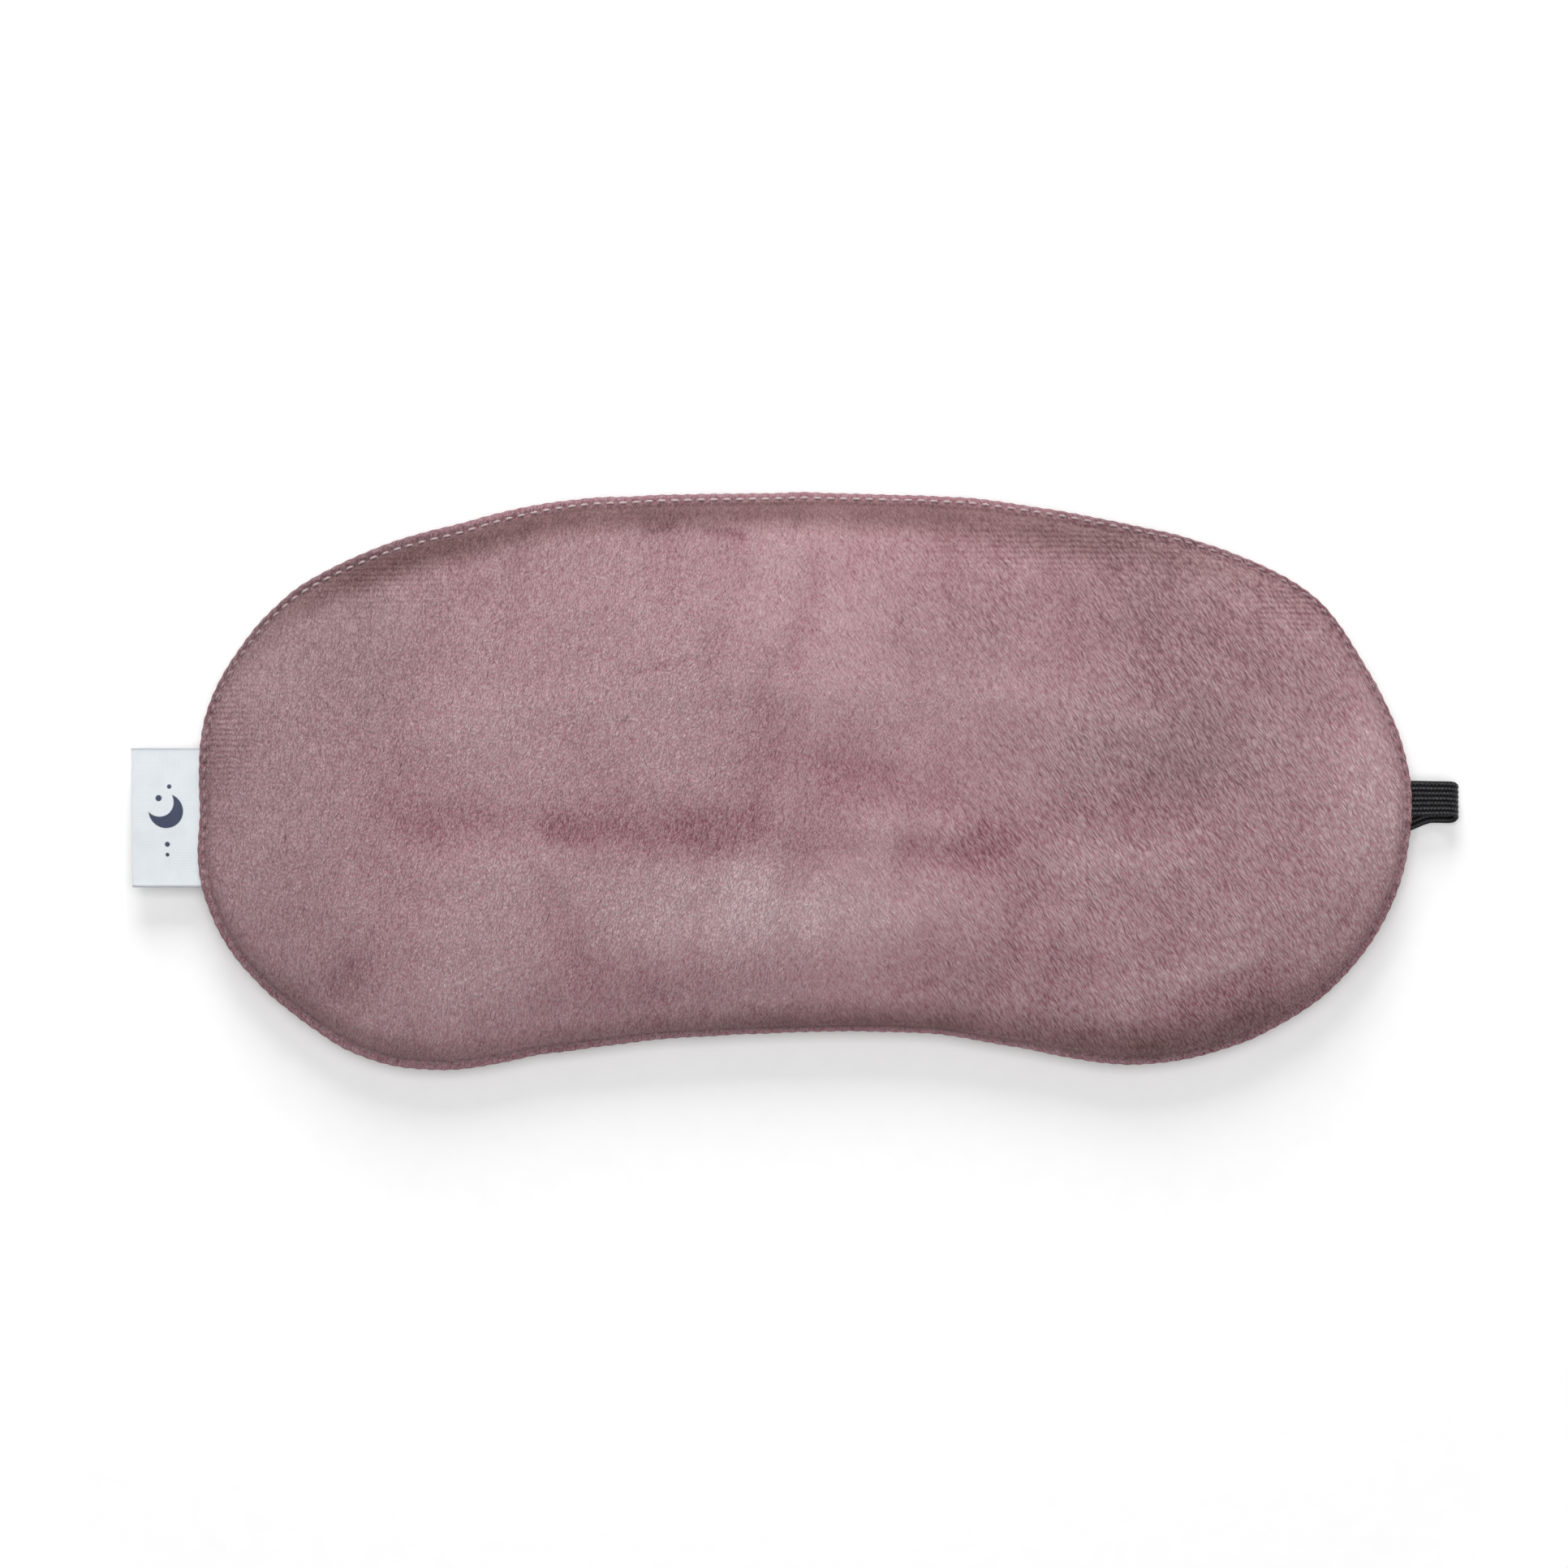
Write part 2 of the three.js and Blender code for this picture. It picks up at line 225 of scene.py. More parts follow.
def add_camera():
    """Straight above, brow edge up, framing the pillow as it is seen."""
    camera = bpy.data.objects.new("camera", bpy.data.cameras.new("camera"))
    camera.data.lens = LENS
    camera.data.sensor_width = SENSOR
    camera.data.clip_start = 0.01
    height = FRAME_WIDTH * LENS / SENSOR
    camera.location = place([*VIEW_CENTRE, SEAM + height])
    bpy.context.collection.objects.link(camera)
    bpy.context.scene.camera = camera


# ---------------------------------------------------------------- the strap

def level_frames(line):
    """Tangent, width direction and face direction along a route, with no twist."""
    tangents = np.gradient(line, axis=0)
    tangents /= np.linalg.norm(tangents, axis=1)[:, None]
    across = np.array([0.0, 1.0, 0.0])
    widths = []
    for tangent in tangents:
        across = across - tangent * (across @ tangent)
        across /= np.linalg.norm(across)
        widths.append(across)
    widths = np.array(widths)
    return tangents, widths, np.cross(widths, tangents)


def strap_section():
    """The ribbed section, as (across, up, how near a rib's crest) points round it."""
    per_rib = 5
    u = np.linspace(0, 1, STRAP_RIBS * per_rib + 1)
    rib = np.abs(np.sin(np.pi * u * STRAP_RIBS)) ** 0.6
    half = STRAP_THICKNESS / 2 * (0.45 + 0.55 * rib)
    half[[0, -1]] *= 0.55
    across = (u - 0.5) * STRAP_WIDTH
    upper, lower = np.column_stack([across, half, rib]), np.column_stack([across, -half, rib])
    return np.vstack([upper, lower[::-1]])


def slid_loop(line):
    """The route with the lower ply of its end loop slid a little sideways, as the slack elastic lies."""
    slid = line.copy()
    slid[:, 1] -= LOOP_SLIDE * smooth(94, 106, line[:, 0]) * smooth(5.0, 0.9, line[:, 2])
    return slid


LOOP_SLIDE = 1.3
LEVEL_LINE = spline(STRAP_ROUTE, False, 24)
STRAP_LINE = slid_loop(LEVEL_LINE)


def make_strap():
    line = STRAP_LINE
    s = along(line)
    section = strap_section()
    _, widths, faces_up = level_frames(LEVEL_LINE)
    pull = 1 + 0.012 * np.sin(s / 1.9) + 0.01 * np.sin(s / 5.3 + 1)  # slack elastic is a little uneven
    points = (
        line[:, None]
        + widths[:, None] * section[None, :, :1] * pull[:, None, None]
        + faces_up[:, None] * section[None, :, 1:2]
    )
    rows, cols = points.shape[:2]
    rest = np.empty((rows, cols, 3))
    rest[..., 0] = s[:, None]
    rest[..., 1] = section[None, :, 0]
    rest[..., 2] = section[None, :, 1]
    i, j = np.meshgrid(np.arange(rows - 1), np.arange(cols), indexing="ij")
    k = (j + 1) % cols
    sides = np.stack([i * cols + j, (i + 1) * cols + j, (i + 1) * cols + k, i * cols + k], -1).reshape(-1, 4)
    caps = [list(range(cols)), list(range((rows - 1) * cols, rows * cols))[::-1]]
    strap = new_mesh("strap", points.reshape(-1, 3), [*sides.tolist(), *caps], rest=rest.reshape(-1, 3),
                     crest=np.tile(section[:, 2], rows))
    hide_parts("strap_left", "strap_right")
    bend_with_fold(strap)
    return strap


def bend_with_fold(piece):
    """Bakes a piece's placing into its points; it does not bend the piece at the nose-bridge line."""
    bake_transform(piece)


# ---------------------------------------------------------------- sheets of rings

def ring_sheet(count, insets, rows):
    """Points and upward faces of a sheet with the outline's shape: rings from the edge inwards, then rows
    across the last ring. insets[0] is the edge's own inset."""
    edge = outline(count)
    spine = np.column_stack([edge[:, 0] * SPINE_SHARE, np.full(count, SPINE_Y)])
    reach = np.linalg.norm(spine - edge, axis=1)
    rings = np.array([edge + (spine - edge) * (inset / reach)[:, None] for inset in insets])
    last = (len(insets) - 1) * count
    columns = np.arange(1, count // 2)
    lower, upper = rings[-1][columns], rings[-1][count - columns]
    shares = (np.arange(1, rows) / rows)[None, :, None]
    inner = lower[:, None] * (1 - shares) + upper[:, None] * shares
    points = np.vstack([rings.reshape(-1, 2), inner.reshape(-1, 2)])

    k, i = np.meshgrid(np.arange(len(insets) - 1), np.arange(count), indexing="ij")
    n = (i + 1) % count
    quads = np.stack([k * count + i, k * count + n, (k + 1) * count + n, (k + 1) * count + i], -1).reshape(-1, 4)
    grid = np.empty((count // 2 - 1, rows + 1), int)
    grid[:, 0] = last + columns
    grid[:, -1] = last + count - columns
    grid[:, 1:-1] = len(insets) * count + np.arange(inner.shape[0] * inner.shape[1]).reshape(inner.shape[:2])
    a, b, c, d = grid[:-1, :-1], grid[1:, :-1], grid[1:, 1:], grid[:-1, 1:]
    middle = np.stack([a, b, c, d], -1).reshape(-1, 4)
    left = [[last, grid[0, r], grid[0, r + 1]] for r in range(rows)]
    right = [[last + count // 2, grid[-1, r + 1], grid[-1, r]] for r in range(rows)]
    return points, [*quads.tolist(), *middle.tolist(), *left, *right]


def shell(count, face, lining):
    """Two ring sheets joined at their edges, the first facing up. face and lining are (insets, rows)."""
    outer, outer_faces = ring_sheet(count, *face)
    inner, inner_faces = ring_sheet(count, *lining)
    shift = len(outer)
    turned = [[shift + v for v in reversed(f)] for f in inner_faces]
    rim = [[i, shift + i, shift + (i + 1) % count, (i + 1) % count] for i in range(count)]
    return outer, inner, [*outer_faces, *turned, *rim]


# ---------------------------------------------------------------- the filling pressing the cloth out

CAGE_ROUND, CAGE_STEP = 220, 2.2
PRESSURE, OVERSIZE, CLOTH_FRAMES = 30.0, 0.012, 20
MOST_MOVE = 0.55
BROAD = 12.0  # the settled cloth keeps its shape at this scale and over, and gains finer puckers
GRID_STEP = 1.5
GRID_X = np.arange(-HALF_WIDTH - 3, HALF_WIDTH + 3, GRID_STEP)
GRID_Y = np.arange(-54, 54, GRID_STEP)


def swell(inset, run):
    """Share of the full rise that a padded edge has reached."""
    t = np.clip((inset - FLANGE) / run, 0, 1)
    return (1 - (1 - t) ** 2) ** 0.6


def press_cage(flat, faces, d):
    """How far the filling lifts each point of a coarse cage of the front cloth, which is sewn down round its
    edge and cut a little large."""
    x, y = flat.T
    z = SEAM + PLUSH + 0.9 * (CROWN - SEAM - PLUSH) * swell(d, FRONT_RUN) + 0.25 * cloud(x, y, 9, 81)
    mesh = bpy.data.meshes.new("cage")
    mesh.from_pydata((np.column_stack([x, y, z]) * MM).tolist(), [], [list(f) for f in faces])
    cage = bpy.data.objects.new("cage", mesh)
    bpy.context.collection.objects.link(cage)
    sewn = cage.vertex_groups.new(name="sewn")
    for n, weight in enumerate(smooth(4.2, 2.4, d)):
        sewn.add([n], float(weight), "REPLACE")
    cloth = cage.modifiers.new("cloth", "CLOTH").settings
    cloth.use_pressure = True
    cloth.uniform_pressure_force = PRESSURE
    cloth.shrink_min = -OVERSIZE
    cloth.vertex_group_mass = "sewn"
    cloth.effector_weights.gravity = 0
    for number in range(1, CLOTH_FRAMES + 1):
        bpy.context.scene.frame_set(number)
    pressed = cage.evaluated_get(bpy.context.evaluated_depsgraph_get()).data
    end = np.empty(len(flat) * 3)
    pressed.vertices.foreach_get("co", end)
    bpy.data.objects.remove(cage)
    bpy.context.scene.frame_set(1)
    return end.reshape(-1, 3)[:, 2] / MM - z


def settle_cloth():
    """The puckers that a cloth simulation gives the front, as heights on a grid over the pillow."""
    insets = np.concatenate([[0.5, 1.5], np.arange(2.5, 36, CAGE_STEP)])
    flat, faces = ring_sheet(CAGE_ROUND, insets, 18)
    d = edge_place(*flat.T)[0]
    lift = press_cage(flat, faces, d)
    band = np.round(d / CAGE_STEP).astype(int)
    mean_lift = np.bincount(band, lift) / np.maximum(np.bincount(band), 1)
    lift -= np.interp(d / CAGE_STEP, np.arange(len(mean_lift)), mean_lift)
    near = np.exp(-((flat[:, None] - flat[None]) ** 2).sum(2) / (2 * BROAD ** 2))
    lift -= near @ lift / near.sum(1)
    lift = MOST_MOVE * np.tanh(lift / MOST_MOVE) * smooth(2.2, 5.0, d)
    tree = KDTree(len(flat))
    for n, point in enumerate(flat):
        tree.insert((*point, 0), n)
    tree.balance()
    grid = np.zeros((len(GRID_X), len(GRID_Y)))
    for i, gx in enumerate(GRID_X):
        for j, gy in enumerate(GRID_Y):
            found = tree.find_n((gx, gy, 0), 4)
            weights = np.array([1 / (gap + 0.3) ** 2 for _, _, gap in found])
            grid[i, j] = weights @ lift[[n for _, n, _ in found]] / weights.sum()
    return grid


PUCKERS = settle_cloth()


def puckers(x, y):
    """Height that the puckers add to each point of the front."""
    u = np.clip((x - GRID_X[0]) / GRID_STEP, 0, len(GRID_X) - 1.001)
    v = np.clip((y - GRID_Y[0]) / GRID_STEP, 0, len(GRID_Y) - 1.001)
    i, j = u.astype(int), v.astype(int)
    low = PUCKERS[i, j] * (1 - u + i) + PUCKERS[i + 1, j] * (u - i)
    high = PUCKERS[i, j + 1] * (1 - u + i) + PUCKERS[i + 1, j + 1] * (u - i)
    return low * (1 - v + j) + high * (v - j)


# ---------------------------------------------------------------- the plush panels

STITCH_PITCH = 2.25
STITCH_COUNT = round(EDGE_LENGTH / STITCH_PITCH)
# The topstitch: x, y beside the edge, its distance from the edge, how deep it pulls the pile in.
STITCHING = [
    (-105, -6, 1.1, 0.8), (-85, -43, 1.5, 0.55), (0, -43, 1.1, 0.6), (57, -49, 1.0, 0.7), (105, -2, 1.0, 0.9),
    (88, 32, 0.9, 0.7), (60, 44, 0.9, 0.45), (27, 49, 0.95, 0.35), (-40, 48.6, 1.15, 0.35), (-62, 44.6, 1.7, 0.35),
    (-80, 38, 1.5, 0.4), (-95, 27, 1.2, 0.6),
]
# Painted shade on the thread where it faces away from the light, so that it hardly shows: x, y beside the edge, and
# how much.
THREAD_SHADE = [
    (-105, -6, 0.85), (-97, 24, 0.75), (-90, 32, 0.4), (-60, 45, 0.3), (-30, 49, 0.15), (30, 49, 0.3),
    (52, 45, 0.5), (80, 37, 0.75),
    (105, -2, 0.95), (60, -49, 0.95), (0, -43, 0.95), (-60, -50, 0.85),
]
# Painted shade, with the nap turned, in the valley inside the topstitch: x, y beside the edge, darkness, width.
VALLEY_SHADE = [
    (-105, -6, 0.2, 2.0), (-99, -30, 0.3, 3.0), (-85, -43, 0.55, 3.5), (-70, -49, 0.65, 4.0),
    (-50, -48, 0.4, 3.5), (-22, -44, 0.7, 3.5), (0, -43, 0.95, 4.0), (22, -44, 0.95, 4.0),
    (40, -47, 0.8, 5.0), (60, -49, 1.0, 6.0), (78, -45, 0.8, 6.0), (92, -35, 0.4, 4.0),
    (102, -19, 0.25, 2.5), (105, -2, 0.2, 2.0), (101, 12, 0.25, 3.0), (88, 32, 0.3, 4.0),
    (70, 41, 0.4, 5.5), (50, 45.6, 0.55, 6.5), (25, 49, 0.9, 5.5), (0, 49.8, 0.95, 5.0),
    (-30, 49, 1.0, 5.0), (-55, 46, 1.0, 5.0), (-75, 40.5, 1.0, 5.0), (-90, 32, 0.55, 4.0),
    (-102, 16, 0.25, 3.0),
]
# How far the padded edge curls out over its flange: x, y beside the edge, distance.
CURL = [
    (-105, -6, 0.5), (-85, -43, 0.2), (-45, -47, 0.6), (0, -43, 1.5), (30, -45, 1.3), (60, -49, 0.8),
    (90, -36, 0.5), (105, -2, 0.6), (88, 32, 0.4), (30, 49, 0.0), (-60, 45, 0.0), (-95, 27, 0.4),
]
# Soft creases of the front: half width, depth (minus is a ridge), painted shade with darkening of the nap (minus is
# painted light), and the points along.
CREASES = [
    (4.8, 0.5, 0.5, [(-40, -7.8), (-30, -8.1), (-20, -8.3), (-12, -8.6)]),
    (4.4, 0.3, 0.3, [(-70, -6.6), (-40, -8.0), (8, -9.4)]),
    (3.6, 0.5, 0.42, [(19, -11.8), (27, -12.0), (32, -10.4)]), (5.0, 0.3, 0.28, [(30, -11.5), (42, -7.0), (57, -4.6)]),
    (5.5, 0.35, 0.34, [(-2, 4.0), (12, 1.0), (21, -2.4)]), (2.6, -0.35, -0.22, [(12, -4.8), (26, -6.6)]),
    (2.6, 0.3, 0.2, [(-87, -24.9), (-86, -25.2)]), (3.4, 0.35, 0.26, [(-80, -34), (-78, -34.6)]),
    (6.0, 0.3, 0.1, [(-38, -30), (-30, -37)]), (4.0, 0.35, 0.22, [(40, -28), (52, -34)]),
    (3.8, 0.6, 0.5, [(64, -38), (80, -35)]), (2.6, -0.35, -0.3, [(54, -34.5), (76, -31.5)]),
    (0.8, 0.25, 0.5, [(-28, 42.8), (-23, 44.0)]), (0.9, 0.25, 0.5, [(-17.5, 43.2), (-11, 42.2)]),
    (0.45, 0.25, 0.45, [(-29, 18.6), (-21, 20.4)]), (0.5, 0.25, 0.4, [(15, -37), (22, -34)]),
    (0.5, 0.2, 0.35, [(80, -15), (84, -10)]), (0.6, 0.25, 0.35, [(91, -26), (94, -21)]),
    (7.0, 0.3, 0.18, [(72, 25), (90, 12)]), (8.0, 0.2, 0.15, [(20, 30), (62, 24)]),
]


# Broad patches of painted light (plus) and painted shade (minus), partly the nap's own lighter or duller lie: x, y,
# reach across, reach up, tone.
NAP_LIGHT_SHADE_PATCHES = [
    (-84, 30, 28, 18, -0.50), (-98, 0, 20, 30, -0.24), (-30, 16, 34, 22, 0.02), (-12, -25, 28, 10, 0.46),
    (25, 27, 12, 12, -0.14), (64, 14, 30, 30, -0.24), (-58, -34, 8, 5, 0.24), (-80, -34, 14, 8, -0.24),
    (-15, -37, 18, 5, -0.2), (30, -34, 16, 6, -0.12), (60, 2, 24, 7, -0.16), (-57, 4, 16, 10, 0.06),
    (98, 0, 8, 20, 0.22), (4, 28, 8, 12, 0.06), (52, 44, 18, 6, -0.3), (-40, 42, 34, 5, -0.24),
    (60, 34, 26, 9, -0.12), (-90, -18, 14, 12, -0.12),
]
# Where the backing's rows show through the parted pile: x, y, reach across, reach up.
ROW_PATCHES = [(-76, 36, 14, 6), (48, 41, 24, 5), (84, 30, 8, 6), (-100, 8, 5, 12)]


def nap_light_shade_patches(x, y):
    """Broad painted light and shade, partly the nap's own, at each point."""
    waver_x = x + 5 * cloud(x, y, 18, 33)
    waver_y = y + 4 * cloud(x, y, 14, 34)
    shade = np.zeros(len(x))
    for x0, y0, across, up, amount in NAP_LIGHT_SHADE_PATCHES:
        shade += amount * np.exp(-((waver_x - x0) / across) ** 2 - ((waver_y - y0) / up) ** 2)
    return shade


def rows_showing(x, y):
    """Share of the backing's rows that shows at each point."""
    return sum(np.exp(-((x - x0) / across) ** 2 - ((y - y0) / up) ** 2) for x0, y0, across, up in ROW_PATCHES)


def line_distance(x, y, line):
    """Distance from each point to a bent line."""
    nearest = np.full(len(x), np.inf)
    for (x0, y0), (x1, y1) in zip(line, line[1:]):
        dx, dy = x1 - x0, y1 - y0
        t = np.clip(((x - x0) * dx + (y - y0) * dy) / (dx * dx + dy * dy), 0, 1)
        nearest = np.minimum(nearest, np.hypot(x - x0 - t * dx, y - y0 - t * dy))
    return nearest


def creases(x, y):
    """Height, and painted shade with nap darkening, that the creases give each point."""
    height, dark = np.zeros(len(x)), np.zeros(len(x))
    waver_x = x + 2.4 * cloud(x, y, 9, 31)
    waver_y = y + 2.0 * cloud(x, y, 9, 32)
    for half, depth, shade, line in CREASES:
        px, py = (waver_x, waver_y) if half > 2 else (x, y)
        near = np.exp(-(line_distance(px, py, line) / half) ** 2)
        height -= 0.6 * depth * near
        dark += shade * near
    return height, dark


def stitch_wave(s):
    """0 at each needle hole and 1 halfway between two."""
    return 0.5 - 0.5 * np.cos(2 * np.pi * s / EDGE_LENGTH * STITCH_COUNT)


def parting(x, y):
    """How far the seam's two plies stand apart, up and down, round the label and the strap's ends."""
    label = (x < 0) * smooth(15.5, 12.0, np.abs(y + 6.25))
    left_strap = (x < 0) * smooth(6.0, 3.0, np.abs(y + 6.2))
    right_strap = (x > 0) * smooth(6.0, 3.0, np.abs(y + 2.9))
    up = np.maximum(0.7 * label, 0.45 * right_strap)
    down = np.maximum(1.1 * left_strap, 0.45 * right_strap)
    return up, np.maximum(down, 0.05 * label)


def wobble_edge(x, y, d, s, outward):
    """Moves points near the edge as scallops between stitches and slow waves do."""
    fade = smooth(5.0, 0.0, d)
    scallop = 0.13 * stitch_wave(s) * smooth(2.0, 0.3, d)
    waves = 0.24 * cloud(s, 0 * s, 14, 41) + 0.08 * cloud(s, 0 * s, 5, 42)
    move = (waves * fade + scallop - 0.1)[:, None] * outward * smooth(6.0, 0.0, d)[:, None]
    return x + move[:, 0], y + move[:, 1]


def front_face(points):
    """Places of the front panel's outer points, and the values that colour its pile, painted light and shade among
    them.
    """
    x, y = points.T
    d, s, outward = edge_place(x, y)
    stitch, pull = round_edge(STITCHING, s)
    dark, width = round_edge(VALLEY_SHADE, s)
    curl, = round_edge(CURL, s)
    up, _ = parting(x, y)
    near_edge = smooth(4.0, 0.0, d)
    lip = SEAM + 0.05 + up * near_edge
    rounding = np.sqrt(np.clip(1 - (1 - np.clip(d / 0.9, 0, 1)) ** 2, 0, 1))
    flange_top = lip + (PLUSH - 0.25) * rounding
    groove = pull * np.exp(-((d - stitch) / 0.42) ** 2) * (1.25 - 0.5 * stitch_wave(s))
    rise = CROWN - 0.55 - (SEAM + PLUSH)
    z = flange_top + rise * swell(d - 0.3, FRONT_RUN) - groove
    inside = smooth(2.0, 12.0, d)
    fold, shade = creases(x, y)
    z += fold * smooth(2.0, 6.0, d)
    z += inside * (0.55 * cloud(x, y, 38, 1) + 0.28 * cloud(x, y, 17, 2) + 0.1 * cloud(x, y, 7, 3))
    pucker = puckers(x, y)
    z += pucker
    tuft = 0.09 * cloud(x * 1.6, y * 0.7, 0.9, 6) + 0.05 * cloud(x * 1.5, y * 0.8, 0.55, 7)
    z += tuft * smooth(0.2, 1.2, d)
    z = np.minimum(z, CROWN + 0.1)
    out = curl * np.exp(-((d - 3.2) / 2.0) ** 2)
    nx, ny = wobble_edge(x + outward[:, 0] * out, y + outward[:, 1] * out, d, s, outward)
    band = smooth(stitch * 0.8, stitch + 0.9, d) * smooth(stitch + width * 1.5, stitch + width * 0.45, d)
    # Painted shade, with the nap turned, in the valley inside the topstitch.
    valley_shade = dark * band * (0.95 + 0.1 * cloud(s, d, 6, 8))
    clouds = 0.25 * cloud(x, y, 24, 11) + 0.28 * cloud(x, y, 11, 12) + 0.1 * cloud(x, y, 5, 13)
    painted_patches = nap_light_shade_patches(x, y)
    # Painted shade on the rounded rim of the flange.
    edge_shade = 0.35 * np.exp(-(d / 1.5) ** 2)
    # The tone takes painted light on the puckers' tops and painted shade in their dips, painted shade from the creases
    # and the rim, and painted light and shade from the broad patches.
    pile_tone = 0.62 + 0.2 * clouds + np.maximum(painted_patches, 0.65 * painted_patches) - 0.65 * shade - edge_shade + 0.3 * pucker
    # Broad painted shade greys the colour where the patches run below zero.
    broad_shade = np.clip(-2.2 * painted_patches - 0.3 * clouds, 0, 1)
    return np.column_stack([nx, ny, z]), dict(pile_tone=pile_tone, broad_shade=broad_shade, valley_shade=valley_shade, rows=rows_showing(x, y))


def front_lining(points):
    x, y = points.T
    d, s, outward = edge_place(x, y)
    up, _ = parting(x, y)
    lip = SEAM + 0.04 + up * smooth(4.0, 0.0, d)
    rise = CROWN - 0.55 - (SEAM + PLUSH)
    z = np.maximum(lip, lip + (PLUSH - 0.3) + rise * swell(d - 1.6, FRONT_RUN) - 1.9)
    fold, _ = creases(x, y)
    z += fold * smooth(6.0, 12.0, d) + puckers(x, y)
    nx, ny = wobble_edge(x, y, d, s, outward)
    return np.column_stack([nx, ny, z])


def strap_lift(x, y):
    """Height that the strap under the pillow pushes the soft underside up to."""
    line = STRAP_LINE[STRAP_LINE[:, 2] < 1.2][::3]
    nearest = np.full(len(x), np.inf)
    for start in range(0, len(x), 8000):
        p = np.column_stack([x, y])[start:start + 8000]
        gap = np.sqrt(((p[:, None] - line[None, :, :2]) ** 2).sum(2)).min(1)
        nearest[start:start + 8000] = gap
    return (STRAP_THICKNESS + 0.35) * smooth(5.4, 3.3, nearest)


def back_face(points):
    """Places of the back panel's outer points, and the values that colour its pile, painted shade in the seam's valley
    among them.
    """
    x, y = points.T
    d, s, outward = edge_place(x, y)
    stitch, _ = round_edge(STITCHING, s)
    _, down = parting(x, y)
    lip = SEAM - 0.05 - down * smooth(4.0, 0.0, d)
    rounding = np.sqrt(np.clip(1 - (1 - np.clip(d / 0.9, 0, 1)) ** 2, 0, 1))
    flange_low = lip - (PLUSH - 0.25) * rounding
    groove = 0.5 * np.exp(-((d - stitch) / 0.42) ** 2) * (1.25 - 0.5 * stitch_wave(s))
    drop = SEAM - PLUSH + 0.1
    z = flange_low - drop * swell(d - 0.3, BACK_RUN) + groove
    tuft = 0.05 * cloud(x * 1.6, y * 0.7, 0.9, 16)
    pucker = np.exp(-((d - 3.6) / 2.0) ** 2) * cloud(s, d * 0.6, 4.2, 15)
    z += 0.3 * pucker + tuft
    z += smooth(8.0, 20.0, d) * (0.12 + 0.12 * cloud(x, y, 15, 17))
    z = np.maximum(z, np.maximum(0.02, strap_lift(x, y)))
    nx, ny = wobble_edge(x, y, d, s, outward)
    # Painted shade in the valley inside the stitching on the underside.
    valley_shade = 0.6 * smooth(stitch * 0.8, stitch + 0.9, d) * smooth(stitch + 6, stitch + 2, d)
    clouds = 0.34 * cloud(x, y, 26, 21) + 0.3 * cloud(x, y, 11, 22) + 0.16 * cloud(x, y, 5, 23)
    pressed = smooth(0.1, 1.1, strap_lift(x, y))
    pile_tone = 0.6 + 0.42 * clouds - 0.3 * pressed
    none = np.zeros(len(x))
    return np.column_stack([nx, ny, z]), dict(pile_tone=pile_tone, broad_shade=none, valley_shade=valley_shade, rows=none)


def back_lining(points):
    x, y = points.T
    d, s, outward = edge_place(x, y)
    _, down = parting(x, y)
    lip = SEAM - 0.04 - down * smooth(4.0, 0.0, d)
    drop = SEAM - PLUSH + 0.1
    z = np.minimum(lip, lip - (PLUSH - 0.3) - drop * swell(d - 1.6, BACK_RUN) + 1.7)
    z = np.maximum(z, strap_lift(x, y) + 0.8)
    nx, ny = wobble_edge(x, y, d, s, outward)
    return np.column_stack([nx, ny, z])


FINE_INSETS = np.concatenate([np.arange(0, 6, 0.35), np.arange(6, 36.1, 0.7)])
COARSE_INSETS = np.array([0.3, 1.2, 2.2, 3.4, 5, 7.5, 11, 16, 24, 36])


def make_panel(name, face, lining, nodes, upside_down):
    """One plush panel as a closed shell: a fine pile face and a plain inner face."""
    count = 1040
    outer, inner, faces = shell(count, (FINE_INSETS, 36), (COARSE_INSETS, 8))
    points, values = face(outer)
    if upside_down:
        faces = [f[::-1] for f in faces]
    values = {key: np.concatenate([value, np.zeros(len(inner))]) for key, value in values.items()}
    panel = new_mesh(name, np.vstack([points, lining(inner)]), faces, **values)
    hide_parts(*nodes)
    bend_with_fold(panel)
    return panel


# ---------------------------------------------------------------- stitches

def stitch_line(inset_at, per_stitch):
    """Points on the topstitch line, per_stitch of them for each stitch."""
    s = np.arange(STITCH_COUNT * per_stitch) / (STITCH_COUNT * per_stitch) * EDGE_LENGTH
    closed = np.vstack([EDGE, EDGE[:1]])
    at = np.column_stack([np.interp(s, EDGE_S, closed[:, k]) for k in range(2)])
    _, _, outward = edge_place(*(at - 0.01 * at / np.linalg.norm(at, axis=1)[:, None]).T)
    inset = inset_at(s)
    return at - outward * inset[:, None], s


def tube(line, radius, sides, closed):
    """Points and faces of a round tube along a line that never runs straight up."""
    ahead = np.roll(line, -1, axis=0) - np.roll(line, 1, axis=0)
    if not closed:
        ahead[0], ahead[-1] = line[1] - line[0], line[-1] - line[-2]
    ahead /= np.linalg.norm(ahead, axis=1)[:, None]
    flat = ahead[:, :2] / np.linalg.norm(ahead[:, :2], axis=1)[:, None]
    side = np.column_stack([flat[:, 1], -flat[:, 0], np.zeros(len(line))])
    up = np.cross(side, ahead)
    turn = np.arange(sides) / sides * 2 * np.pi
    radius = np.broadcast_to(radius, len(line))[:, None, None]
    ring = side[:, None] * np.cos(turn)[None, :, None] + up[:, None] * np.sin(turn)[None, :, None]
    points = (line[:, None] + ring * radius).reshape(-1, 3)
    rows = len(line)
    i, j = np.meshgrid(np.arange(rows if closed else rows - 1), np.arange(sides), indexing="ij")
    n, k = (i + 1) % rows, (j + 1) % sides
    faces = np.stack([i * sides + j, i * sides + k, n * sides + k, n * sides + j], -1).reshape(-1, 4).tolist()
    if not closed:
        faces += [list(range(sides))[::-1], list(range((rows - 1) * sides, rows * sides))]
    return points, faces


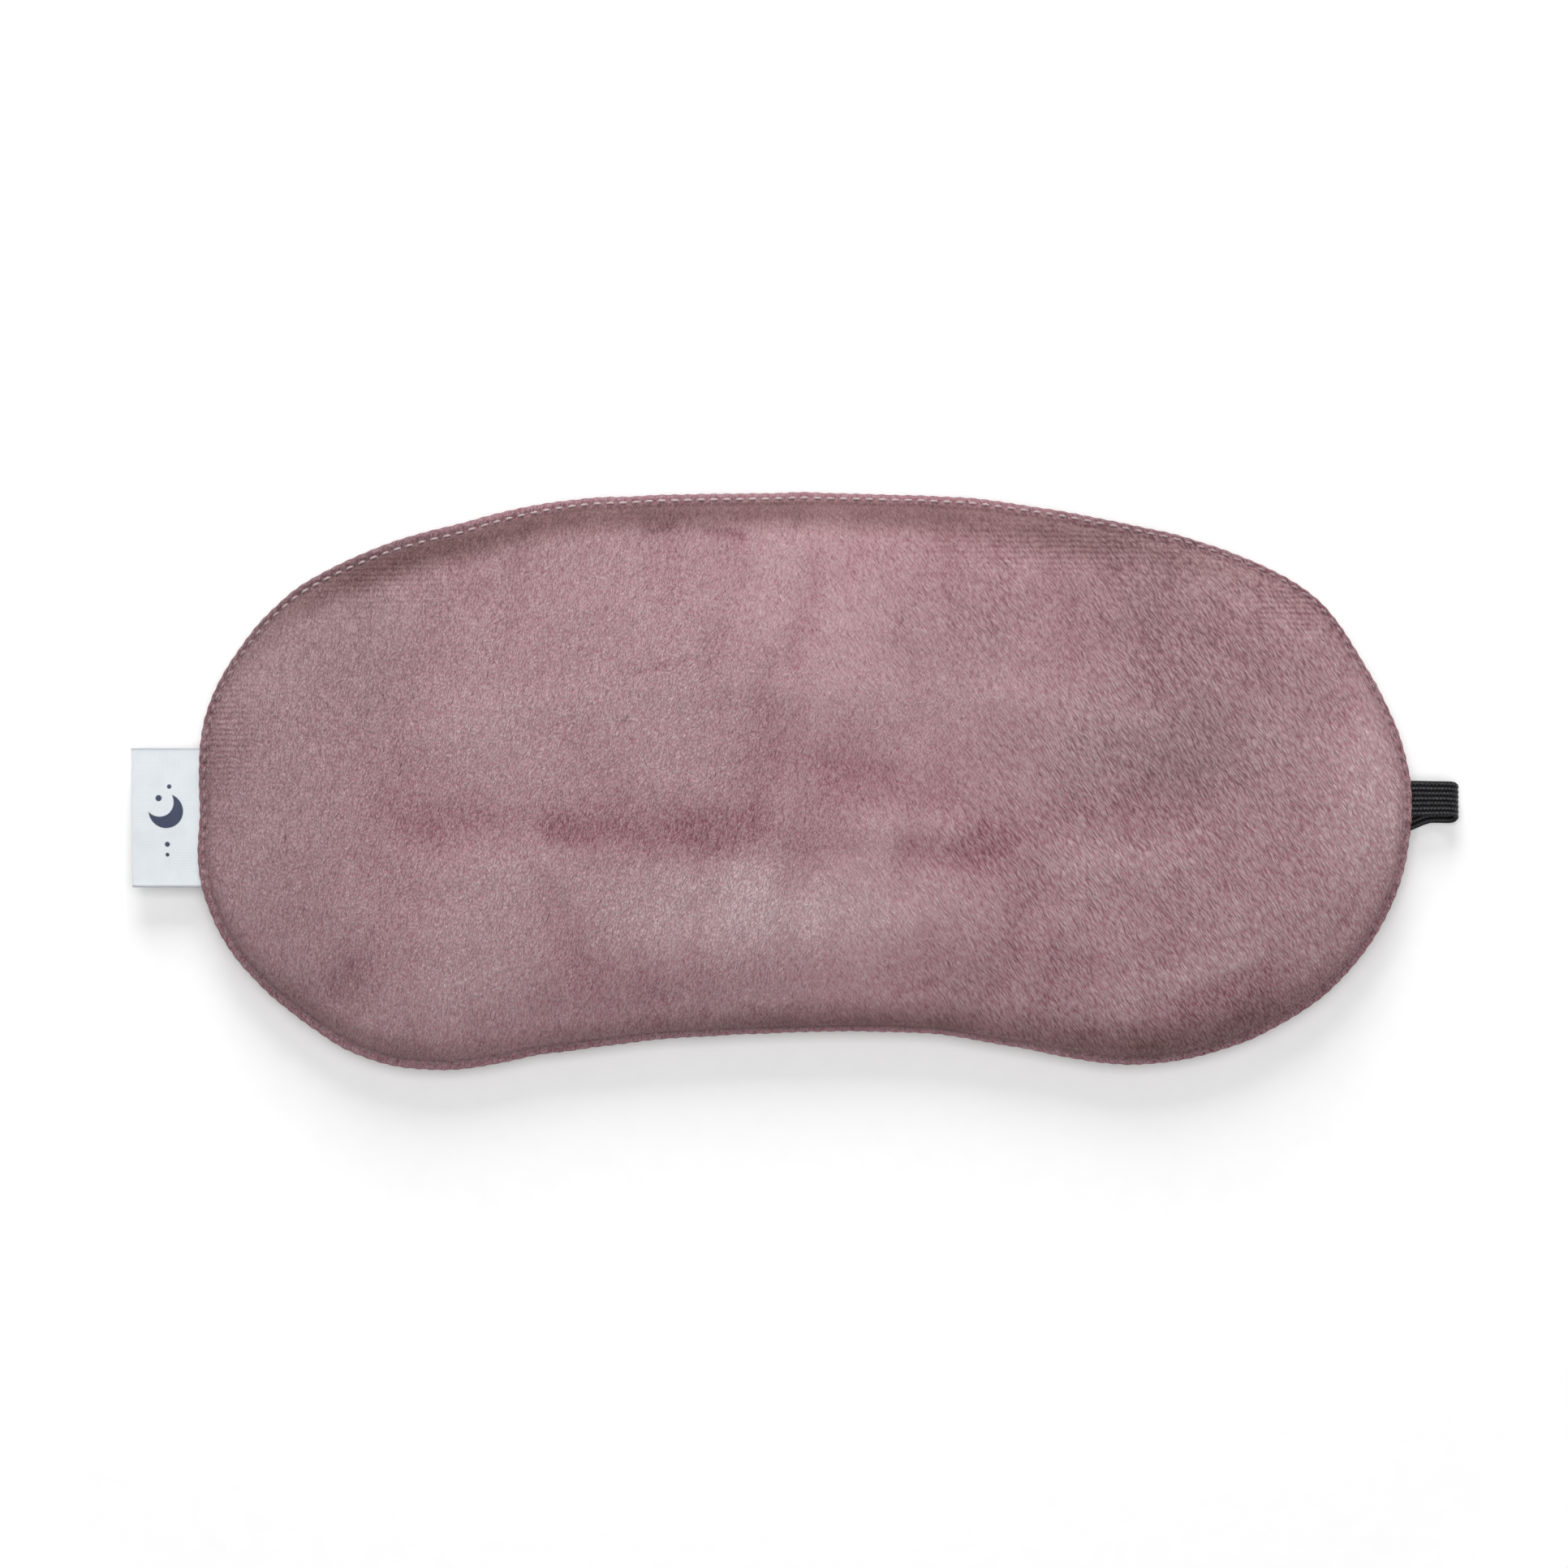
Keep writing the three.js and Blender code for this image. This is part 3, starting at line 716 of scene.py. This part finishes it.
def make_stitching(name, face, side, nodes):
    """Lockstitches along the flange: the thread lies on the pile and dives at each needle hole."""
    per_stitch = 12
    flat_line, s = stitch_line(lambda s: round_edge(STITCHING, s)[0], per_stitch)
    line = face(flat_line)[0]
    hole = (1 - stitch_wave(s)) ** 2
    line[:, 2] += side * (0.2 - 1.1 * hole)
    radius = 0.21 * (1 - 0.3 * hole)
    points, faces = tube(line, radius, 8, True)
    rest = np.zeros((len(line), 8, 3))
    rest[..., 0] = s[:, None]
    rest[..., 1] = np.arange(8)[None, :]
    # Painted shade on the thread, darker where the light falls away.
    worn, = round_edge(THREAD_SHADE, s)
    stitching = new_mesh(name, points, faces, rest=rest.reshape(-1, 3), worn=np.repeat(worn, 8))
    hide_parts(*nodes)
    bend_with_fold(stitching)
    return stitching


# ---------------------------------------------------------------- the label

LABEL_WIDTH, LABEL_TIP, LABEL_ROOT, LABEL_Y = 24.1, -117.0, -101.4, -6.25
LABEL_TOP, LABEL_BOTTOM = 5.56, 5.2
RIBBON = 0.2


def ribbon_path():
    """Middle of the folded ribbon in x and z, from its upper root out to the fold and back under."""
    radius = (LABEL_TOP - LABEL_BOTTOM) / 2
    turn = np.linspace(np.pi / 2, 3 * np.pi / 2, 9)[1:-1]
    out = np.linspace(LABEL_ROOT, LABEL_TIP + radius + RIBBON / 2, 90)
    bend = np.column_stack([out[-1] + radius * np.cos(turn), (LABEL_TOP + LABEL_BOTTOM) / 2 + radius * np.sin(turn)])
    upper = np.column_stack([out, np.full(len(out), LABEL_TOP)])
    lower = np.column_stack([out[::-1], np.full(len(out), LABEL_BOTTOM)])
    return np.vstack([upper, bend, lower])


def moon_distance(across, along_label):
    """Distance in from the edge of a crescent moon and three dots on the ribbon, minus outside them."""
    disc = 3.0 - np.hypot(across - 1.2, along_label)
    bite = np.hypot(across - 1.2 - 1.5, along_label + 1.1) - 2.5
    shape = np.minimum(disc, bite)
    for dot_across, dot_along, size in [(3.4, -1.2, 0.55), (5.4, 0.6, 0.4), (-4.6, 0.2, 0.45), (-6.4, 0.2, 0.35)]:
        shape = np.maximum(shape, size - np.hypot(across - dot_across, along_label - dot_along))
    return shape


def make_label():
    path = ribbon_path()
    s = along(path)
    ahead = np.gradient(path, axis=0)
    ahead /= np.linalg.norm(ahead, axis=1)[:, None]
    face_out = np.column_stack([ahead[:, 1], -ahead[:, 0]])
    across = np.linspace(-LABEL_WIDTH / 2, LABEL_WIDTH / 2, 121)
    edge_band = 0.03 * smooth(LABEL_WIDTH / 2 - 0.9, LABEL_WIDTH / 2 - 0.5, np.abs(across))
    rows, cols = len(path), len(across)
    sides = []
    for side in (1, -1):
        grid = np.empty((rows, cols, 3))
        grid[..., 0] = path[:, None, 0] + side * face_out[:, None, 0] * (RIBBON / 2 + edge_band)
        grid[..., 1] = LABEL_Y + across
        grid[..., 2] = path[:, None, 1] + side * face_out[:, None, 1] * (RIBBON / 2 + edge_band)
        sides.append(grid)
    points = np.concatenate([g.reshape(-1, 3) for g in sides])
    x, y = points[:, 0], points[:, 1]
    free = smooth(-104, -110, x)
    points[:, 2] += free * (0.16 * np.sin((y - LABEL_Y) / 6.5 + 0.6) + 0.1 * cloud(x, y, 6, 51))
    points[:, 0] += free * 0.12 * cloud(y, y * 0, 5, 52)
    rest = np.empty((2, rows, cols, 3))
    rest[..., 0] = s[None, :, None]
    rest[..., 1] = across
    rest[..., 2] = 0
    printed = np.full((2, rows, cols), -5.0)
    reach = path[:, 0] - (LABEL_TIP + 6.0)
    upper = (np.arange(rows) < 90)[:, None]
    printed[0] = np.where(upper, moon_distance(across[None, :], reach[:, None]), -5.0)
    total = rows * cols
    i, j = np.meshgrid(np.arange(rows - 1), np.arange(cols - 1), indexing="ij")
    quads = np.stack([i * cols + j, (i + 1) * cols + j, (i + 1) * cols + j + 1, i * cols + j + 1], -1)
    quads = quads.reshape(-1, 4)
    border = [
        *range(cols), *(r * cols + cols - 1 for r in range(1, rows)),
        *((rows - 1) * cols + c for c in range(cols - 2, -1, -1)), *(r * cols for r in range(rows - 2, 0, -1)),
    ]
    rim = [[a, b, total + b, total + a] for a, b in zip(border, border[1:] + border[:1])]
    faces = [*quads.tolist(), *(quads[:, ::-1] + total).tolist(), *rim]
    label = new_mesh("ribbon_label", points, faces, rest=rest.reshape(-1, 3), printed=printed.ravel())
    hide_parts("label", "label_tail")
    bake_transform(label)
    return label


# ---------------------------------------------------------------- the pouch and its seeds

POUCH_INSET = 4.4
PLY = 0.4


def ceiling(x, y, d, depth):
    """Height of the soft front, lowered by depth."""
    rise = CROWN - 0.55 - (SEAM + PLUSH)
    fold, _ = creases(x, y)
    inside = smooth(2.0, 12.0, d)
    clouds = 0.55 * cloud(x, y, 38, 1) + 0.28 * cloud(x, y, 17, 2)
    soft = (fold + clouds) * inside + puckers(x, y)
    return SEAM + PLUSH - 0.25 + rise * swell(d - 0.3 - 0.8 * depth, FRONT_RUN) + soft - depth


def bed(x, y, d, height):
    """Height of the soft back, raised by height."""
    drop = SEAM - PLUSH + 0.1
    swollen = SEAM - PLUSH + 0.25 - drop * swell(d - 0.3 - 0.8 * height, BACK_RUN)
    return np.maximum(swollen, strap_lift(x, y)) + height


def make_pouch_ply(name, side, nodes):
    insets = [POUCH_INSET, 5.2, 6, 7, 8.5, 10, 12, 15, 19, 24, 30, 38]
    outer, inner, faces = shell(360, (insets, 14), (insets, 14))
    grids = []
    for flat, inward in ((outer, 0.0), (inner, PLY)):
        x, y = flat.T
        d, s, _ = edge_place(x, y)
        wrinkle = smooth(6, 12, d) * smooth(26, 12, d) * 0.12 * np.sin(s / 1.7 + 2 * cloud(x, y, 9, 61))
        if side > 0:
            z = np.maximum(SEAM + 0.1 + PLY - inward, ceiling(x, y, d, 2.35 + inward) + wrinkle - 0.12)
        else:
            z = np.minimum(SEAM - 0.1 - PLY + inward, bed(x, y, d, 2.0 + inward) + wrinkle + 0.12)
        grids.append(np.column_stack([x, y, z]))
    if side < 0:
        faces = [f[::-1] for f in faces]
    ply = new_mesh(name, np.vstack(grids), faces)
    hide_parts(*nodes)
    bend_with_fold(ply)
    return ply


def make_fill():
    """The seeds as one heaped body with whole seeds lying all over it."""
    insets = [7.2, 8, 9, 10.5, 12.5, 15, 18, 22, 27, 33, 40]
    outer, inner, faces = shell(420, (insets, 20), (insets, 20))
    grids = []
    for flat, top in ((outer, True), (inner, False)):
        x, y = flat.T
        d, _, _ = edge_place(x, y)
        lump = 0.22 * cloud(x, y, 2.4, 71)
        upper, lower = ceiling(x, y, d, 3.5) + lump, bed(x, y, d, 3.0) - lump
        middle = SEAM + 0.1
        z = np.maximum(upper, middle + 0.15) if top else np.minimum(lower, middle - 0.15)
        grids.append(np.column_stack([x, y, z]))
    body = np.vstack(grids)
    seed_points, seed_faces = scatter_seeds(body, len(body))
    fill = new_mesh("seed_fill", np.vstack([body, seed_points]), [*faces, *seed_faces])
    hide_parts("seed_fill_left", "seed_fill_right")
    bend_with_fold(fill)
    return fill


def scatter_seeds(body, first):
    """Whole flax seeds half sunk in the heap, at chosen points of its surface."""
    rng = np.random.RandomState(5)
    chosen = body[rng.choice(len(body), 900, replace=False)]
    across = np.linspace(0, np.pi, 6)[1:-1]
    turns = np.arange(6) / 6 * 2 * np.pi
    unit = np.array([[0, 0, 1.0]] + [
        [math.sin(a) * math.cos(t), math.sin(a) * math.sin(t), math.cos(a)] for a in across for t in turns
    ] + [[0, 0, -1.0]])
    loops = [[1 + r * 6 + k for k in range(6)] for r in range(4)]
    one = [[0, loops[0][k], loops[0][(k + 1) % 6]] for k in range(6)]
    one += [[a[k], b[k], b[(k + 1) % 6], a[(k + 1) % 6]] for a, b in zip(loops, loops[1:]) for k in range(6)]
    one += [[25, loops[3][(k + 1) % 6], loops[3][k]] for k in range(6)]
    points, faces = [], []
    for n, at in enumerate(chosen):
        turn = rng.uniform(0, np.pi)
        shaped = unit * [2.1, 1.1, 0.5]
        spun = np.column_stack([
            shaped[:, 0] * math.cos(turn) - shaped[:, 1] * math.sin(turn),
            shaped[:, 0] * math.sin(turn) + shaped[:, 1] * math.cos(turn),
            shaped[:, 2],
        ])
        sink = -0.35 if at[2] > SEAM else 0.35
        points.append(spun * 0.9 + at + [0, 0, sink])
        faces += [[first + n * 26 + v for v in f] for f in one]
    return np.vstack(points), faces


def make_pouch_thread():
    """The running stitch that closes the pouch, round its rim."""
    count, per_stitch = 300, 8
    total = count * per_stitch
    edge = even(np.vstack([EDGE, EDGE[:1]]), total)[:-1]
    inset = POUCH_INSET + 0.9
    spine = np.column_stack([edge[:, 0] * SPINE_SHARE, np.full(total, SPINE_Y)])
    reach = np.linalg.norm(spine - edge, axis=1)
    at = edge + (spine - edge) * (inset / reach)[:, None]
    wave = np.cos(2 * np.pi * np.arange(total) / per_stitch)
    line = np.column_stack([at, SEAM + 0.62 * wave])
    points, faces = tube(line, 0.14, 6, True)
    rest = np.zeros((total, 6, 3))
    rest[..., 0] = (np.arange(total) / total * EDGE_LENGTH)[:, None]
    thread = new_mesh("pouch_thread", points, faces, rest=rest.reshape(-1, 3))
    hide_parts("pouch_thread_left", "pouch_thread_right")
    bend_with_fold(thread)
    return thread


# ---------------------------------------------------------------- materials

def tone(red, green, blue):
    """A linear colour from display values of 0 to 255."""
    return (*(((v / 255 + 0.055) / 1.055) ** 2.4 if v > 10 else v / 3294 for v in (red, green, blue)), 1)


class Surface:
    """A principled material, with short ways to add its nodes."""

    def __init__(self, name, **values):
        self.material = bpy.data.materials.new(name)
        self.material.use_nodes = True
        self.tree = self.material.node_tree
        self.shader = self.tree.nodes["Principled BSDF"]
        for key, value in values.items():
            self.shader.inputs[key.replace("_", " ")].default_value = value

    def node(self, kind, inputs, **settings):
        node = self.tree.nodes.new("ShaderNode" + kind)
        for key, value in settings.items():
            setattr(node, key, value)
        for key, value in inputs.items():
            self.feed(node.inputs[key], value)
        return node

    def feed(self, socket, value):
        if isinstance(value, bpy.types.NodeSocket):
            self.tree.links.new(value, socket)
        else:
            socket.default_value = value

    def attribute(self, name, output="Fac"):
        return self.node("Attribute", {}, attribute_name=name).outputs[output]

    def math(self, operation, a, b=0.0):
        return self.node("Math", {0: a, 1: b}, operation=operation).outputs[0]

    def spread(self, value, low, high, to_low=0.0, to_high=1.0):
        inputs = {"Value": value, "From Min": low, "From Max": high, "To Min": to_low, "To Max": to_high}
        return self.node("MapRange", inputs).outputs[0]

    def stretched(self, vector, turn, size):
        """A vector measured along axes turned in the plane, in units of size."""
        inputs = {"Vector": vector, "Rotation": (0, 0, math.radians(turn)), "Scale": size}
        return self.node("Mapping", inputs, vector_type="TEXTURE").outputs[0]

    def noise(self, vector, size, detail=2.0, roughness=0.5):
        inputs = {"Vector": vector, "Scale": 1 / size, "Detail": detail, "Roughness": roughness}
        return self.node("TexNoise", inputs).outputs["Fac"]

    def warped(self, vector, size, amount):
        """A vector pushed about by noise."""
        push = self.node("TexNoise", {"Vector": vector, "Scale": 1 / size, "Detail": 1.0}).outputs["Color"]
        push = self.node("VectorMath", {0: push, 1: (0.5, 0.5, 0.5)}, operation="SUBTRACT").outputs[0]
        push = self.node("VectorMath", {0: push, "Scale": 2 * amount}, operation="SCALE").outputs[0]
        return self.node("VectorMath", {0: vector, 1: push}, operation="ADD").outputs[0]

    def tufts(self, vector):
        """A random shade for each tuft of pile, and the distance from the tuft's middle."""
        cells = self.node("TexVoronoi", {"Vector": vector, "Scale": 1.0})
        shade = self.node("SeparateXYZ", {0: cells.outputs["Color"]}).outputs[0]
        return shade, cells.outputs["Distance"]

    def wave(self, vector, size, direction, distortion=0.0):
        inputs = {"Vector": vector, "Scale": 0.314 / size, "Distortion": distortion, "Detail": 1.0}
        return self.node("TexWave", inputs, bands_direction=direction).outputs["Fac"]

    def ramp(self, value, *stops):
        node = self.node("ValToRGB", {"Fac": value})
        elements = node.color_ramp.elements
        while len(elements) < len(stops):
            elements.new(0.5)
        for element, (position, colour) in zip(elements, stops):
            element.position = position
            element.color = colour
        return node.outputs["Color"]

    def mix(self, share, a, b):
        return self.node("Mix", {0: share, 6: a, 7: b}, data_type="RGBA").outputs[2]

    def blend(self, share, a, b):
        return self.node("Mix", {0: share, 2: a, 3: b}).outputs[0]

    def bump(self, *layers):
        """Bumps the surface by layers of (height, depth in millimetres)."""
        normal = None
        for height, depth in layers:
            inputs = {"Height": height, "Distance": depth * MM, "Strength": 1.0}
            if normal is not None:
                inputs["Normal"] = normal
            normal = self.node("Bump", inputs).outputs["Normal"]
        self.feed(self.shader.inputs["Normal"], normal)

    def colour(self, socket):
        self.feed(self.shader.inputs["Base Color"], socket)


def plush_material(name):
    plush = Surface(name, Roughness=0.95, Sheen_Weight=0.12, Sheen_Roughness=0.5, Specular_IOR_Level=0.1)
    plush.shader.inputs["Sheen Tint"].default_value = tone(255, 225, 228)
    rest = plush.attribute("rest", "Vector")
    pile = plush.warped(rest, 2.6, 0.35)
    x = plush.node("SeparateXYZ", {0: rest}).outputs[0]
    drift = plush.spread(plush.noise(rest, 30), 0.4, 0.6, -14, 14)
    lean = plush.spread(plush.math("ADD", x, drift), -18.0, 60.0)
    shade_left, gap_left = plush.tufts(plush.stretched(pile, 76, (0.62, 0.26, 0.6)))
    shade_right, gap_right = plush.tufts(plush.stretched(pile, 122, (1.25, 0.29, 0.6)))
    shade = plush.blend(lean, shade_left, shade_right)
    gap = plush.blend(lean, gap_left, gap_right)
    locks = plush.noise(plush.stretched(pile, 96, (1.3, 0.5, 1.0)), 1.0, 3.0, 0.65)
    value = plush.math("MULTIPLY", plush.attribute("pile_tone"), 0.5)
    value = plush.math("ADD", value, plush.spread(shade, 0.0, 1.0, -0.13, 0.13))
    # Painted shade between the tufts of pile, and painted light on their middles.
    gap_shade = plush.blend(lean, plush.spread(gap, 0.2, 0.8, 0.1, -0.17), plush.spread(gap, 0.25, 0.78, 0.1, -0.25))
    value = plush.math("ADD", value, gap_shade)
    value = plush.math("ADD", value, plush.spread(locks, 0.3, 0.7, -0.07, 0.07))
    rows = plush.spread(plush.wave(pile, 0.95, "Y", 0.5), 0.3, 0.9)
    value = plush.math("SUBTRACT", value, plush.math("MULTIPLY", plush.math("MULTIPLY", rows, 0.17),
                                                     plush.attribute("rows")))
    value = plush.math("ADD", value, 0.3)
    # The pile's tone, which carries painted light and shade as well as its own variation, turned into colour.
    pile_tone = plush.ramp(
        value, (0.0, tone(94, 54, 62)), (0.25, tone(136, 92, 101)), (0.5, tone(162, 127, 133)),
        (0.72, tone(176, 147, 151)), (1.0, tone(206, 183, 186)),
    )
    # Brown colour of the painted shade in the valley inside the topstitch.
    hollow_shade = plush.ramp(value, (0.1, tone(70, 46, 46)), (0.5, tone(108, 79, 80)), (0.9, tone(138, 106, 109)))
    # Grey colour of the broad painted shade.
    broad_shade = plush.ramp(value, (0.1, tone(112, 84, 88)), (0.45, tone(150, 122, 126)), (0.9, tone(186, 164, 166)))
    pile_tone = plush.mix(plush.attribute("broad_shade"), pile_tone, broad_shade)
    plush.colour(plush.mix(plush.spread(plush.attribute("valley_shade"), 0.0, 1.0), pile_tone, hollow_shade))
    plush.bump((gap, -0.3), (locks, 0.2))
    return plush.material


def thread_material(name, light, dark, shade_colour):
    thread = Surface(name, Roughness=0.55, Sheen_Weight=0.2)
    rest = thread.attribute("rest", "Vector")
    twist = thread.wave(thread.stretched(rest, 35, (0.3, 1.2, 1)), 1.0, "X", 0.6)
    fuzz = thread.noise(rest, 1.3)
    unshaded = thread.mix(thread.math("MULTIPLY", fuzz, twist), tone(*light), tone(*dark))
    # Painted shade on the thread where it faces away from the light.
    thread.colour(thread.mix(thread.attribute("worn"), unshaded, tone(*shade_colour)))
    thread.bump((twist, 0.05))
    return thread.material


def elastic_material():
    elastic = Surface("braided_elastic", Roughness=0.5, Specular_IOR_Level=0.12)
    rest = elastic.attribute("rest", "Vector")
    chevron = elastic.wave(elastic.stretched(rest, 28, (0.55, 1, 1)), 1.0, "X", 0.3)
    chevron_back = elastic.wave(elastic.stretched(rest, -28, (0.55, 1, 1)), 1.0, "X", 0.3)
    weave = elastic.math("MULTIPLY", chevron, chevron_back)
    lint = elastic.noise(rest, 0.35, 3.0)
    value = elastic.math("ADD", elastic.math("MULTIPLY", weave, 0.2), elastic.spread(lint, 0.4, 0.8, 0, 0.2))
    # Painted highlight on the ribs' crests and painted shade in the grooves between them.
    value = elastic.math("ADD", value, elastic.math("MULTIPLY", elastic.attribute("crest"), 0.65))
    elastic.colour(elastic.ramp(value, (0.2, tone(2, 2, 3)), (0.6, tone(20, 20, 22)), (0.95, tone(92, 92, 95))))
    elastic.bump((weave, 0.1), (lint, 0.05))
    return elastic.material


def ribbon_material():
    ribbon = Surface("satin_ribbon", Roughness=0.42, Sheen_Weight=0.1, Anisotropic=0.4)
    rest = ribbon.attribute("rest", "Vector")
    picks = ribbon.wave(rest, 0.28, "X")
    warps = ribbon.wave(rest, 0.2, "Y")
    weave = ribbon.math("MULTIPLY", picks, warps)
    soil = ribbon.noise(rest, 4.0)
    satin = ribbon.ramp(ribbon.math("ADD", ribbon.math("MULTIPLY", weave, 0.4), ribbon.math("MULTIPLY", soil, 0.6)),
                        (0.1, tone(206, 212, 217)), (0.9, tone(226, 231, 235)))
    across = ribbon.math("ABSOLUTE", ribbon.node("SeparateXYZ", {0: rest}).outputs[1])
    # Painted shade along the ribbon's two edges.
    edge_band = ribbon.spread(across, LABEL_WIDTH / 2 - 0.5, LABEL_WIDTH / 2 - 0.15)
    satin = ribbon.mix(ribbon.math("MULTIPLY", edge_band, 0.55), satin, tone(120, 126, 140))
    ink = ribbon.mix(weave, tone(34, 42, 70), tone(58, 68, 104))
    ribbon.colour(ribbon.mix(ribbon.spread(ribbon.attribute("printed"), -0.06, 0.06), satin, ink))
    ribbon.bump((weave, 0.04))
    return ribbon.material


def cotton_material():
    cotton = Surface("pouch_cotton_weave", Roughness=0.85, Sheen_Weight=0.1)
    rest = cotton.attribute("rest", "Vector")
    weave = cotton.math("MULTIPLY", cotton.wave(rest, 0.5, "X", 0.4), cotton.wave(rest, 0.5, "Y", 0.4))
    slub = cotton.noise(cotton.stretched(rest, 0, (6, 0.4, 1)), 1.0)
    value = cotton.math("ADD", cotton.math("MULTIPLY", weave, 0.5), cotton.math("MULTIPLY", slub, 0.5))
    cotton.colour(cotton.ramp(value, (0.1, tone(196, 186, 170)), (0.9, tone(236, 230, 218))))
    cotton.bump((weave, 0.12))
    return cotton.material


def seed_material():
    seed = Surface("flax_seed", Roughness=0.38, Coat_Weight=0.15)
    rest = seed.attribute("rest", "Vector")
    cells = seed.node("TexVoronoi", {"Vector": seed.stretched(rest, 20, (2.0, 1.1, 1.0)), "Scale": 1.0})
    shade = seed.node("SeparateXYZ", {0: cells.outputs["Color"]}).outputs[0]
    fine = seed.noise(rest, 0.5)
    value = seed.math("ADD", seed.math("MULTIPLY", shade, 0.7), seed.math("MULTIPLY", fine, 0.3))
    seed.colour(seed.ramp(value, (0.1, tone(72, 38, 20)), (0.5, tone(112, 62, 34)), (0.9, tone(158, 98, 58))))
    seed.bump((cells.outputs["Distance"], -0.5))
    return seed.material


def floor_material():
    """Pale paper that glows towards its rim, a painted light, so that it runs into the white room."""
    paper = Surface("pale_floor", Roughness=0.9, Specular_IOR_Level=0.1)
    place_on_floor = paper.node("TexCoord", {}).outputs["Object"]
    grain = paper.noise(place_on_floor, 0.004)
    paper.colour(paper.ramp(grain, (0.3, tone(248, 248, 248)), (0.7, tone(250, 250, 250))))
    out = paper.node("VectorMath", {0: place_on_floor}, operation="LENGTH").outputs["Value"]
    paper.shader.inputs["Emission Color"].default_value = (1, 1, 1, 1)
    paper.feed(paper.shader.inputs["Emission Strength"], paper.spread(out, *FLOOR_GLOW))
    return paper.material


# ---------------------------------------------------------------- floor and light

FLOOR_GLOW = (0.17, 0.8, 0.0, 0.85)  # distance from the middle from and to, and the glow at each


def add_floor():
    half = 1.6
    mesh = bpy.data.meshes.new("floor")
    mesh.from_pydata([(-half, -half, 0), (half, -half, 0), (half, half, 0), (-half, half, 0)], [], [(0, 1, 2, 3)])
    mesh.materials.append(floor_material())
    floor = bpy.data.objects.new("floor", mesh)
    bpy.context.collection.objects.link(floor)


def add_light(name, size, energy, location):
    lamp = bpy.data.lights.new(name, "AREA")
    lamp.shape = "SQUARE"
    lamp.size = size
    lamp.energy = energy
    light = bpy.data.objects.new(name, lamp)
    light.location = location
    light.rotation_euler = (-Vector(location)).to_track_quat("-Z", "Y").to_euler()
    light.visible_camera = False
    bpy.context.collection.objects.link(light)


def add_room():
    """A white room: brightest near the horizon, dimmer overhead."""
    world = bpy.data.worlds.new("white_room")
    world.use_nodes = True
    nodes, links = world.node_tree.nodes, world.node_tree.links
    direction = nodes.new("ShaderNodeTexCoord")
    split = nodes.new("ShaderNodeSeparateXYZ")
    strength = nodes.new("ShaderNodeMapRange")
    for socket, value in zip(("From Min", "From Max", "To Min", "To Max"), ROOM_GLOW):
        strength.inputs[socket].default_value = value
    links.new(direction.outputs["Generated"], split.inputs[0])
    links.new(split.outputs[2], strength.inputs["Value"])
    links.new(strength.outputs[0], nodes["Background"].inputs["Strength"])
    nodes["Background"].inputs["Color"].default_value = (1, 1, 1, 1)
    bpy.context.scene.world = world


ROOM_GLOW = (0.1, 0.35, 1.0, 0.25)  # rise above the horizon from and to, and the strength at each


def add_lighting():
    add_room()
    add_light("overhead", 0.7, 6.3, (0.0, 0.04, 1.0))
    add_light("window", 0.5, 7.2, (-0.04, 0.85, 0.44))
    bpy.context.scene.view_settings.view_transform = "Standard"


# ---------------------------------------------------------------- the scene

add_camera()
strap = make_strap()
front_panel = make_panel("front_panel", front_face, front_lining,
                         ("front_panel_left", "front_panel_right"), False)
back_panel = make_panel("back_panel", back_face, back_lining,
                        ("back_panel_left", "back_panel_right"), True)
needle_thread = make_stitching("needle_thread", front_face, 1,
                               ("topstitch_thread_left", "topstitch_thread_right"))
bobbin_thread = make_stitching("bobbin_thread", back_face, -1, ("bobbin_thread_left", "bobbin_thread_right"))
label = make_label()
pouch_front = make_pouch_ply("pouch_front", 1, ("pouch_front_left", "pouch_front_right"))
pouch_back = make_pouch_ply("pouch_back", -1, ("pouch_back_left", "pouch_back_right"))
pouch_thread = make_pouch_thread()
seed_fill = make_fill()

plush = plush_material("plush")
# The topstitch's pale colours are partly a painted highlight on the rose thread; its last colour is its painted shade.
topstitch = thread_material("topstitch", (240, 220, 221), (206, 176, 179), (146, 112, 118))
cotton = cotton_material()
looks = [
    (strap, elastic_material()), (front_panel, plush), (back_panel, plush), (needle_thread, topstitch),
    (bobbin_thread, topstitch), (label, ribbon_material()), (pouch_front, cotton), (pouch_back, cotton),
    (pouch_thread, thread_material("pouch_stitch", (238, 232, 220), (206, 198, 184), (222, 215, 202))),
    (seed_fill, seed_material()),
]
for piece, look in looks:
    piece.data.materials.append(look)

add_floor()
add_lighting()
